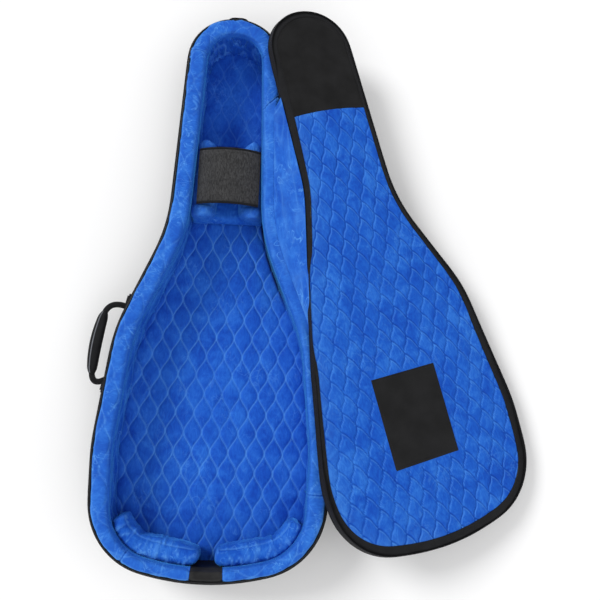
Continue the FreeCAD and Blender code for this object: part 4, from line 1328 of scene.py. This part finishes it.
grid = lid_grid(SEAM_Y, EVERYWHERE, SHIELD_COLUMNS)
x, y = grid[:, :, 0], grid[:, :, 1]
edge_gap = np.minimum(LINING_EDGE.distance(x, y), np.maximum(y - arch_y(x), 0) + SEAM_SLIVER)
hang = 0.0016 * rounded(edge_gap, 0.009) - EDGE_DROP + 0.0007 * (noise(x, y, 0.04, 221) - 0.5)
hang = hang - 0.0006 * stitch_mark(edge_gap - 0.006, 0.001)
points, faces = backed(np.dstack([grid, LID_LOW - hang]), LINING_BACK)
shield = lid_piece(
    "lid_head_shield", "black_vinyl", VINYL, points, faces, points * FLAT, replaces=("lid_head_panel",),
)

PATCH_GRID = 70
HEM_STITCH = 0.0052  # distance of the patch's stitches from its edge


def below_patch(x, y):
    """How far the lining hangs under the patch."""
    return np.maximum(lining_height(x, y, np.ones(x.shape))[0], PUFF - 0.0022)


share = np.linspace(0, 1, PATCH_GRID)[:, None]
x, y = np.meshgrid(*(patch_low[:2] + (patch_high - patch_low)[:2] * share).T)
hem_gap = hem_distance(x, y)
swell = 0.0013 + 0.0005 * step_up(0.007 - hem_gap, 0, 0.001) + 0.0008 * (noise(x, y, 0.03, 231) - 0.5)
swell = swell * rounded(hem_gap, 0.0015) - 0.0006 * stitch_mark(hem_gap - HEM_STITCH, 0.0008)
flat = np.dstack([x, y, LID_LOW - below_patch(x, y) - swell]).reshape(-1, 3)
border = edge_ring(PATCH_GRID, PATCH_GRID)
faces = grid_faces(PATCH_GRID, PATCH_GRID) + grid_faces(PATCH_GRID, PATCH_GRID, len(flat))
for a, b in zip(border, np.roll(border, -1)):
    faces.append((int(a), int(b), int(b) + len(flat), int(a) + len(flat)))
points = np.vstack([flat, flat + 0.0022 * UP])
patch = lid_piece(
    "bridge_patch_cloth", "black_vinyl", VINYL, points, faces, points * FLAT,
    replaces=("bridge_patch",), sharp=50,
)
STITCH_PITCH = 0.0036
STITCH = (0.0024, 0.0006, 0.0006)
sewn_low, sewn_high = patch_low + HEM_STITCH, patch_high - HEM_STITCH
corners = [(a[0], b[1]) for a, b in (
    (sewn_low, sewn_low), (sewn_high, sewn_low), (sewn_high, sewn_high), (sewn_low, sewn_high),
)]
centres, runs = at_pitch(lifted(corners, 0.0), STITCH_PITCH, True)
centres[:, 2] = LID_LOW - below_patch(centres[:, 0], centres[:, 1]) - 0.0012
ups = np.tile(UP, (len(runs), 1))
points, faces = blocks(centres, runs, np.cross(ups, runs), ups, STITCH)
lid_piece("bridge_patch_stitches", "black_webbing", THREAD, points, faces, points)

# ---------------------------------------------------------------- lid: edge band, pipings, outer cloth
ROUND = 0.012  # radius of the lid's padded edge
BAND_TUCK = 0.0012


def lid_band():
    """Padded nylon band round the lid's edge, from the inner piping round to the outer piping."""
    turn = np.linspace(0, math.pi / 2, 9)
    from_edge = 1 - np.linspace(1, 0, 6)[:-1]
    arc_in = ROUND * (1 - np.sin(turn))
    arc_z = ROUND * (1 - np.cos(turn))
    sewn = BAND[:, None] - BAND_TUCK
    inner = np.minimum(sewn - (sewn - ROUND) * from_edge, BAND[:, None])
    start = np.minimum(sewn, ROUND) / ROUND
    inset = np.hstack([inner, arc_in * start, arc_in[::-1] + 0 * start, LID_BAND + 0 * start])
    z = np.r_[np.full(len(from_edge), LID_LOW), LID_LOW + arc_z, LID_HIGH - arc_z[::-1], LID_HIGH]
    z = z + 0 * inset
    u = np.arange(LID.count)[:, None] * STEP + 0 * inset
    flat = LID.at[:, None, :] - LID.out[:, None, :] * inset[:, :, None]
    points = np.dstack([flat, z])
    v = girth(points)
    around = 0.4 * np.cos(2 * math.pi * u / (LID.count * STEP))
    other = 0.4 * np.sin(2 * math.pi * u / (LID.count * STEP)) + v
    height = 0.0016 * (noise(around, other, 0.03, 241) - 0.5)
    height = height + 0.0008 * (ridges(around, other, 0.02, 242) - 0.25)
    middle = np.abs(z - (LID_LOW + LID_HIGH) / 2)
    beneath = 1 - step_up(z, LID_LOW + 0.0005, LID_LOW + 0.004)
    height = np.minimum(height - 0.0004, 0.0012 - 0.0010 * beneath) * step_up(v, 0, 0.004)
    height = height * step_up(v[:, -1:] - v, 0, 0.004) * step_up(middle, 0.0015, 0.004)
    normal = normals_of(points)
    outward = np.dstack([np.repeat(LID.out[:, None, :], z.shape[1], 1), np.zeros(z.shape)])
    normal = normal * np.sign((normal * outward).sum(2).mean())
    points = points + normal * height[:, :, None]
    inner_back = lifted(LID.inset(LID_BAND), LID_HIGH - 0.002)[:, None, :]
    inner_front = lifted(LID.inset(BAND + 0.001), LID_LOW + 0.002)[:, None, :]
    points, faces = swept(np.hstack([points, inner_back, inner_front]), True)
    made = lid_piece(
        "lid_edge_band", "black_nylon", NYLON, points, faces, cloth_map(u, v, 2), replaces=("lid_gusset",),
    )


lid_band()
hidden = 1 - step_up(np.abs(LID.at[:, 1] - BULGE_Y), BULGE_HALF, BULGE_FADE)
hidden = hidden * step_up(LID.out[:, 0], 0, 0.5)
inner_cord = lifted(LID.inset(BAND - 0.0006 + 0.004 * hidden), LID_LOW + 0.0015 + 0.005 * hidden)
outer_cord = lifted(LID.inset(LID_BAND - 0.0018), LID_HIGH - 0.0014)
for name, cord, radius in (("inner", inner_cord, 0.0016), ("outer", outer_cord, 0.0017)):
    lid_piece(
        "lid_" + name + "_cord", "piping", PIPING, *tube(cord, radius, True),
        replaces=("lid_piping_" + name,),
    )

web_low, web_high = closed_box("hinge_web_lid")
lid_kept = zip_stations(LID, web_low[1] + 0.02, web_high[1] - 0.01)
zip_low, zip_high = closed_box("lid_zip")
from_end = np.minimum(np.arange(len(lid_kept)), np.arange(len(lid_kept))[::-1]) * STEP
HEM_LEAN = 0.0018  # the tape's free edge leans in, along the rim's own curve
hem_inset, hem_station = BASE.nearest(LID.inset(0.0019 + HEM_LEAN)[lid_kept])
hem_z = rim_profile(np.maximum(hem_inset, RIM_START), RIM[hem_station]) + 0.0016
hem_z = np.clip(hem_z, WALL_TOP + 0.0075, zip_low[2] - 0.002)
hem_z = hem_z + (zip_low[2] - 0.002 - hem_z) * (1 - step_up(from_end, 0.0, 0.12))
zip_band(
    "lid_zip", "lid", LID.inset(0.0009)[lid_kept], LID.out[lid_kept], hem_z, zip_high[2] + 0.002,
    (zip_low[2] + zip_high[2]) / 2, "lid_zip", opened=True, lean=HEM_LEAN,
)

outer_rows = rows_over(LID.inset(LID_BAND + 0.0002), 100)
x, y = outer_rows[:, :, 0], outer_rows[:, :, 1]
waves = 0.0012 * (noise(x, y, 0.06, 251) - 0.5) + 0.0008 * (ridges(x, y, 0.05, 252) - 0.3)
edge_gap = Outline(LID.inset(LID_BAND)).distance(x, y)
waves = (waves - 0.0009) * step_up(edge_gap, 0.002, 0.02)
points, faces = backed(np.dstack([outer_rows, LID_HIGH - 0.0002 + np.minimum(waves, 0)]), panel_box[0][2])
lid_piece(
    "lid_outer_cloth", "black_nylon", NYLON, points, faces, points * FLAT,
    replaces=("lid_outer_panel",), sharp=60,
)

# ---------------------------------------------------------------- lid: outside pocket
gusset_low, gusset_high = closed_box("pocket_gusset")
share = np.linspace(0, 1, 12)
u = np.arange(POCKET.count)[:, None] * STEP + 0 * share
v = gusset_low[2] + (gusset_high[2] - gusset_low[2]) * share + 0 * u
puffed = 0.0018 * np.sin(math.pi * share) - 0.0004
puffed = puffed + 0.0016 * (noise(u, v, 0.02, 261) - 0.5) * np.sin(math.pi * share)
pocket_end = closed_box("pocket_panel")[1][1]
beside_zip = step_up(POCKET.at[:, 1], pocket_end - 0.012, pocket_end - 0.004)
puffed = puffed * (1 - beside_zip[:, None]) - 0.0012 * beside_zip[:, None]
flat = POCKET.at[:, None, :] + POCKET.out[:, None, :] * puffed[:, :, None]
inner = POCKET.inset(0.0035)
grid = np.hstack([
    np.dstack([flat, v]), lifted(inner, gusset_high[2])[:, None, :], lifted(inner, gusset_low[2])[:, None, :]
])
points, faces = swept(grid, True)
side = lid_piece(
    "pocket_side_cloth", "black_nylon", NYLON, points, faces, cloth_map(u, v, 2),
    replaces=("pocket_gusset",),
)

pocket_rows = rows_over(POCKET.at, 110)
x, y = pocket_rows[:, :, 0], pocket_rows[:, :, 1]
edge_gap = POCKET.distance(x, y)
edge = rounded(edge_gap, 0.010)
waves = 0.0011 * (noise(x, y, 0.05, 271) - 0.5) + 0.0007 * (ridges(x, y, 0.04, 272) - 0.5) - 0.0010
top = POCKET_SPLIT + 0.0012 + (POCKET_HIGH - POCKET_SPLIT - 0.0014) * edge
top = top + waves * edge - 0.0008 * stitch_mark(edge_gap - 0.013, 0.0011)
points, faces = backed(np.dstack([pocket_rows, np.minimum(top, POCKET_HIGH)]), POCKET_SPLIT + 0.0001)
front = lid_piece(
    "pocket_front_cloth", "black_nylon", NYLON, points, faces, points * FLAT, replaces=("pocket_panel",),
)
pocket_cord = lifted(POCKET.inset(-0.0004), POCKET_SPLIT - 0.0002)
lid_piece("pocket_cord", "piping", PIPING, *tube(pocket_cord, 0.0013, True, 8))
zip_low, zip_high = closed_box("pocket_zip")
zip_x = np.linspace(zip_low[0], zip_high[0], 60)
zip_line = np.column_stack([zip_x, np.full(len(zip_x), zip_low[1] + 0.0008)])
zip_out = np.tile([0.0, 1.0], (len(zip_x), 1))
zip_band(
    "pocket_zip", "lid", zip_line, zip_out, zip_low[2], zip_high[2], (zip_low[2] + zip_high[2]) / 2,
    "pocket_zip", opened=True,
)

# ---------------------------------------------------------------- hinge web
WEB_LOW_Y, WEB_HIGH_Y = web_low[1] - 0.006, web_high[1] + 0.009
WEB_LEAN = 0.015  # how far its head end runs askew
WEB_LAP = 0.015  # how far it reaches in over the rim
WEB_THICK = 0.0024
right_side = np.flatnonzero((BASE.at[:, 0] > 0) & (BASE.at[:, 1] > -0.3) & (BASE.at[:, 1] < 0.5))
right_side = right_side[np.argsort(BASE.at[right_side, 1])]
RIM_BY_Y = (BASE.at[right_side, 1], RIM[right_side])


def web():
    """Velvet flap that carries the rim's cloth over to the lid, gathered at its tail end."""
    rows, columns = 200, 44
    along = np.linspace(WEB_LOW_Y, WEB_HIGH_Y, rows)
    hinge = HINGE_AT[:2] + along[:, None] * HINGE_DIR[:2]

    def edge_reach(points, at=along):
        """Distance across the hinge line at each row, and the height there."""
        share = (points[:, :2] - HINGE_AT[:2]) @ HINGE_DIR[:2]
        reach = (points[:, :2] - HINGE_AT[:2]) @ ACROSS
        order = np.argsort(share)
        return np.interp(at, share[order], reach[order]), np.interp(at, share[order], points[order, 2])

    on_right = BASE.at[:, 0] > 0
    start_reach, _ = edge_reach(lifted(BASE.inset(WEB_LAP), 0.0)[on_right])
    rim_reach, _ = edge_reach(lifted(BASE.at, 0.0)[on_right])
    rim_width = np.interp(along, *RIM_BY_Y)
    hinge_side = LID.out[:, 0] > 0.2
    middle = (LID_LOW + LID_HIGH) / 2
    lean = WEB_LEAN * step_up(along, WEB_HIGH_Y - 0.09, WEB_HIGH_Y)
    lid_line = turned(lifted(LID.inset(0.0), middle), OPEN_ANGLE)[hinge_side]
    lid_reach, lid_z = edge_reach(lid_line, along + lean)
    face_line = turned(lifted(LID.inset(0.0016), LID_LOW), OPEN_ANGLE)[hinge_side]
    face_reach, face_z = edge_reach(face_line, along + lean)
    bulge = 1 - step_up(np.abs(along - BULGE_Y), BULGE_HALF - 0.02, BULGE_HALF + 0.03)
    end_reach = (lid_reach + 0.0012) * (1 - bulge) + (face_reach + 0.0010) * bulge
    end_z = (lid_z + 0.0085) * (1 - bulge) + (face_z - 0.0006) * bulge
    share = np.linspace(0, 1, columns)
    gap = end_reach - start_reach
    reach = start_reach[:, None] + gap[:, None] * share
    whole = along[:, None] + lean[:, None] * share
    inset = (np.interp(whole, along, rim_reach) - reach) * 0.985
    on_rim = rim_profile(np.maximum(inset, RIM_START), rim_width[:, None])
    ceiling = RIM_TOP - LID_STAND - np.maximum(reach, -HINGE_REACH) * math.tan(TILT)
    on_rim = np.minimum(on_rim, ceiling)
    start_z = on_rim[:, 0]
    crest = HINGE_AT[2] + 0.0008
    line = start_z[:, None] + (end_z - start_z)[:, None] * share
    lift = np.maximum(crest - line.max(1), 0.0)[:, None] * 0.55
    shape = line + lift * np.sin(math.pi * share) - 0.0030 * np.sin(math.pi * share) ** 2 * (1 - share)
    z = np.maximum(shape, on_rim + 0.0004 * step_up(share, 0.0, 0.06) - 0.0004)
    u, v = whole, reach
    gathers = 1 - step_up(along, WEB_LOW_Y + 0.03, WEB_LOW_Y + 0.15)[:, None]
    folds = ridges(v + 0.008 * noise(u, v, 0.04, 281), 0.16 * u, 0.011, 282)
    inside = step_up(share, 0.0, 0.12) * step_up(1 - share, 0.0, 0.12)
    tucked = step_up(along, WEB_HIGH_Y - 0.010, WEB_HIGH_Y)[:, None] * np.ones(columns)
    z = z - 0.0026 * tucked + (0.0013 + 0.0022 * gathers) * (folds - 0.3) * inside
    z = z + 0.0010 * (noise(u, v, 0.03, 283) - 0.5) * inside
    askew = (whole - along[:, None])[:, :, None]
    flat = hinge[:, None, :] + ACROSS * reach[:, :, None] + HINGE_DIR[:2] * askew
    top = np.dstack([flat, z])
    thick = WEB_THICK * (0.25 + 0.75 * step_up(share, 0, 0.15) * np.ones((rows, 1)))
    low = np.dstack([flat, z - thick])
    grid = np.hstack([top, low[:, ::-1]])
    points, faces = swept(grid, False)
    cloth = np.dstack([reach, whole, 0 * reach])
    cloth = np.hstack([cloth, cloth[:, ::-1]])
    # painted highlights on the web's fold ridges and painted shade between the gathers
    creases = (0.40 + 0.9 * gathers) * folds * (0.4 + noise(u, v, 0.05, 284)) + 0.08
    creases = creases - 0.45 * gathers * (1 - folds) * noise(u, v, 0.02, 285)
    creases = creases + 0.5 * stitch_mark(WEB_HIGH_Y - 0.012 - along[:, None], 0.002)
    mark = np.hstack([creases, 0 * reach])
    made = piece(
        "hinge_web_cloth", None, VELVET, points, faces, cloth, mark,
        ("hinge_web_base", "hinge_web_lid"),
    )
    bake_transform(made)


web()

# ---------------------------------------------------------------- carry handle
grip_low, grip_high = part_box("handle_grip")
GRIP_Z = (grip_low.z + grip_high.z) / 2
GRIP_THICK = grip_high.z - grip_low.z
handle_joint = joint_named("carry_handle_swing")
PIN_DIR = np.array(handle_joint["axis"], float)
WALL_OUT = np.array([-PIN_DIR[1], PIN_DIR[0], 0.0])
UPPER_PIN = np.array(handle_joint["pos_m"], float)
lower_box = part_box("handle_anchor_lower")
LOWER_PIN = np.array([(lower_box[0].x + lower_box[1].x) / 2, (lower_box[0].y + lower_box[1].y) / 2, GRIP_Z])
LOWER_PIN = UPPER_PIN + PIN_DIR * ((LOWER_PIN - UPPER_PIN) @ PIN_DIR)
grip_points = node_points("handle_grip") - UPPER_PIN
grip_along, grip_across = grip_points @ PIN_DIR, grip_points @ WALL_OUT
GRIP_BOW = np.polyfit(grip_along, grip_across, 2)
GRIP_HALF = float(np.median(np.abs(grip_across - np.polyval(GRIP_BOW, grip_along))))
GRIP_ENDS = (grip_along.max() + 0.008, grip_along.min() + 0.002)
GRIP_INSET = 0.0012
GRIP_SIDES = 32


def on_grip(share, offset=0.0, lift=0.0):
    """Points along the grip's bowed middle line, from the head end, moved out and up."""
    along = GRIP_ENDS[0] + (GRIP_ENDS[1] - GRIP_ENDS[0]) * share
    lean = np.polyval(np.polyder(GRIP_BOW), along)
    size = np.sqrt(1 + lean ** 2)
    along_too = along - offset * lean / size
    across = np.polyval(GRIP_BOW, along) + offset / size
    flat = UPPER_PIN + along_too[:, None] * PIN_DIR + across[:, None] * WALL_OUT
    return flat + np.outer(lift + 0 * along, UP)


def grip():
    """Padded grip: full in the middle, drawn in to both ends, piped along both long edges."""
    share = np.linspace(0, 1, 80)
    taper = rounded_taper(share, 0.14, 0.5)
    narrow = 0.66 + 0.34 * np.sin(math.pi * share) ** 0.8
    turn = np.linspace(0, 2 * math.pi, GRIP_SIDES, endpoint=False)
    across, upward = section(GRIP_SIDES, 2.6)
    half = (GRIP_HALF - GRIP_INSET) * narrow * taper
    high = (GRIP_THICK / 2 - GRIP_INSET) * taper
    ring = [on_grip(share, half * a, high * b) for a, b in zip(across, upward)]
    points = np.stack(ring, axis=1)
    u = (share * 0.135)[:, None] + 0 * turn
    v = (turn * 0.011)[None, :] + 0 * u
    points[:, :, 2] += 0.0010 * (noise(u, v, 0.014, 291) - 0.4) * upward
    points, faces = swept(points, False)
    made = piece(
        "handle_grip_pad", "carry_handle", NYLON, points, faces, np.dstack([u, v, 0 * u]),
        replaces=("handle_grip",),
    )
    kept = slice(3, -3)
    for name, side_share, top_share in (("outer", 0.42, 0.95), ("inner", -0.93, 0.40)):
        cord = on_grip(share[kept], side_share * half[kept], top_share * high[kept])
        points, faces, cloth = tube(cord, 0.0012, False, 8)
        material = GREY_PIPING if name == "outer" else PIPING
        piece("handle_piping_" + name, "carry_handle", material, points, faces, cloth)


grip()
PIN_HALF, CORE_HALF = 0.014, 0.0136
for name, pin, share_at, sign in (("upper", UPPER_PIN, 0.06, -1), ("lower", LOWER_PIN, 0.94, 1)):
    pin_end = pin + PIN_DIR * PIN_HALF * sign
    inside_grip = on_grip(np.array([share_at]))[0]
    share = np.linspace(0, 1, 30)[:, None]
    bend = on_grip(np.array([share_at + sign * 0.22]))[0]
    leg = pin_end * (1 - share) ** 2 + bend * 2 * share * (1 - share) + inside_grip * share ** 2
    points, faces, cloth = tube(leg, 0.0062, False, 16, 0.46)
    core = tube(np.array([pin - PIN_DIR * CORE_HALF, pin, pin + PIN_DIR * CORE_HALF]), 0.0022, False, 12)
    both, faces = merged((points, faces), core[:2])
    piece(
        "handle_strap_" + name, "carry_handle", WEBBING, both, faces, both,
        replaces=("handle_webbing_" + name,), sharp=60,
    )


def folded_tab(name, node, bar, run, out, half_wide, tail, radius, thick):
    """Webbing folded round a bar, with both tails sewn to the wall."""
    bar, run, out = (np.asarray(part, float) for part in (bar, run, out))
    down = np.cross(run, out)
    turn = np.linspace(-math.pi / 2, math.pi / 2, 14)
    arc = np.column_stack([np.cos(turn), np.sin(turn)]) * (radius + thick / 2)
    first = [(-tail[0], -(radius + thick / 2))]
    last = [(-tail[1], radius + thick / 2)]
    path = np.vstack([first, arc, last])
    ring = []
    run_2d = unit(np.gradient(path, axis=0))
    for offset in (thick / 2, -thick / 2):
        ring.append(path + np.column_stack([run_2d[:, 1], -run_2d[:, 0]]) * offset)
    outline = np.vstack([ring[0], ring[1][::-1]])
    across = np.linspace(-1, 1, 12)
    body = outline[None, :, :] * np.ones((12, 1, 1))
    points = (
        bar + body[:, :, :1] * out + body[:, :, 1:] * down
        + (across * half_wide)[:, None, None] * run
    )
    shape, faces = swept(points, False)
    cloth = np.column_stack([shape @ run, shape @ down, 0 * shape[:, 0]])
    return piece(name, "base", WEBBING, shape, faces, cloth, replaces=(node,), sharp=50)


for name, pin in (("upper", UPPER_PIN), ("lower", LOWER_PIN)):
    folded_tab(
        "handle_tab_" + name, "handle_anchor_" + name, pin, PIN_DIR, WALL_OUT, 0.0088, (0.0085, 0.0085),
        0.0027, 0.0022,
    )
for name, sign in (("left", -1), ("right", 1)):
    ring_at = joint_named(name + "_ring_swing")["pos_m"]
    folded_tab(
        "ring_fold_" + name, "ring_tab_" + name, ring_at, (0, -sign, 0), (sign, 0, 0), 0.0078,
        (0.0035, 0.0035), 0.0026, 0.0016,
    )

# ---------------------------------------------------------------- hang loop
loop_low, loop_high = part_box("hang_loop")


def hang_loop():
    """Carrying loop of webbing sewn to the head end."""
    half = loop_high.x - 0.0022
    depth = loop_high.y - loop_low.y
    turn = np.linspace(0, math.pi, 40)
    across = np.sign(np.cos(turn)) * np.abs(np.cos(turn)) ** 0.55 * half
    reach = loop_low.y + 0.0018 + (depth - 0.0040) * np.sin(turn) ** 0.8
    path = np.column_stack([across, reach])
    back = np.column_stack([np.linspace(-half, half, 14)[1:-1], np.full(12, loop_low.y + 0.0017)])
    line = np.vstack([path, back])
    out = -Outline.normals(line)
    middle = (loop_low.z + loop_high.z) / 2
    high = (loop_high.z - loop_low.z) / 2
    across, upward = section(20, 6.0)
    flat = line[:, None, :] + out[:, None, :] * (0.0017 * across)[None, :, None]
    z = np.repeat((middle + high * upward)[None, :], len(line), 0)
    points, faces = swept(np.dstack([flat, z]), True)
    cloth = np.column_stack([points[:, 2], points[:, 0] + points[:, 1], 0 * points[:, 0]])
    piece(
        "hang_loop_web", "base", WEBBING, points, faces, cloth,
        replaces=("hang_loop",), sharp=60,
    )


hang_loop()

# ---------------------------------------------------------------- hard parts keep their own shapes
HARD = (
    "pocket_slider", "pocket_pull", "zip_slider_upper", "zip_pull_upper",
    "zip_slider_lower", "zip_pull_lower", "d_ring_left", "d_ring_right",
)
FOAMS = ("back_foam", "wall_foam", "lid_foam")
for nodes, material in ((HARD, SOLID_METAL), (FOAMS, FOAM)):
    for node in nodes:
        frame["nodes"][node].data.materials.clear()
        frame["nodes"][node].data.materials.append(material)

# ---------------------------------------------------------------- camera, floor and light
CAMERA_AT = (0.08558, -0.26640, 1.5764)
CAMERA_TURN = (0.1646, -0.0513, 0.0503)
FOCAL_PIXELS = 723.37
IMAGE_SIDE = 600
SENSOR = 36.0
camera_data = bpy.data.cameras.new("camera")
camera_data.sensor_width = SENSOR
camera_data.lens = FOCAL_PIXELS / IMAGE_SIDE * SENSOR
camera = in_scene("camera", camera_data)
turn_x, turn_y, turn_z = (Matrix.Rotation(a, 4, axis) for a, axis in zip(CAMERA_TURN, "XYZ"))
camera.matrix_world = Matrix.Translation(CAMERA_AT) @ turn_x @ turn_y @ turn_z
bpy.context.scene.camera = camera

floor_mesh = bpy.data.meshes.new("studio_floor")
REACH = 12.0
corners = [(-REACH, -REACH, 0), (REACH, -REACH, 0), (REACH, REACH, 0), (-REACH, REACH, 0)]
floor_mesh.from_pydata(corners, [], [(0, 1, 2, 3)])
floor = in_scene("studio_floor", floor_mesh)
floor.location.z = -0.0005
floor_shader = Shader("studio_floor", Roughness=0.9, Specular_IOR_Level=0.1)
paper = floor_shader.mix(floor_shader.noise(3.0), (0.92, 0.92, 0.93), (0.95, 0.95, 0.95))
floor_mesh.materials.append(floor_shader.finish(paper))


def studio_light(name, place, spread, power):
    """Broad, even light that shines from a place towards the middle of the bag."""
    data = bpy.data.lights.new(name, "SUN")
    data.angle = math.radians(spread)
    data.energy = power
    lamp = in_scene(name, data)
    lamp.location = place
    lamp.rotation_euler = (-Vector(place)).to_track_quat("-Z", "Y").to_euler()


studio_light("key", (-2.2, 1.3, 2.0), 22, 1.7)
studio_light("fill", (1.9, -0.9, 2.4), 60, 0.35)
studio_light("front", (0.2, -2.4, 1.7), 50, 0.55)
SKY_STRENGTH = 0.62
world = bpy.data.worlds.new("studio")
bpy.context.scene.world = world
world.use_nodes = True
sky = world.node_tree.nodes["Background"]
sky.inputs["Color"].default_value = (1.0, 1.0, 1.0, 1.0)
sky.inputs["Strength"].default_value = SKY_STRENGTH
bpy.context.scene.view_settings.view_transform = "Standard"
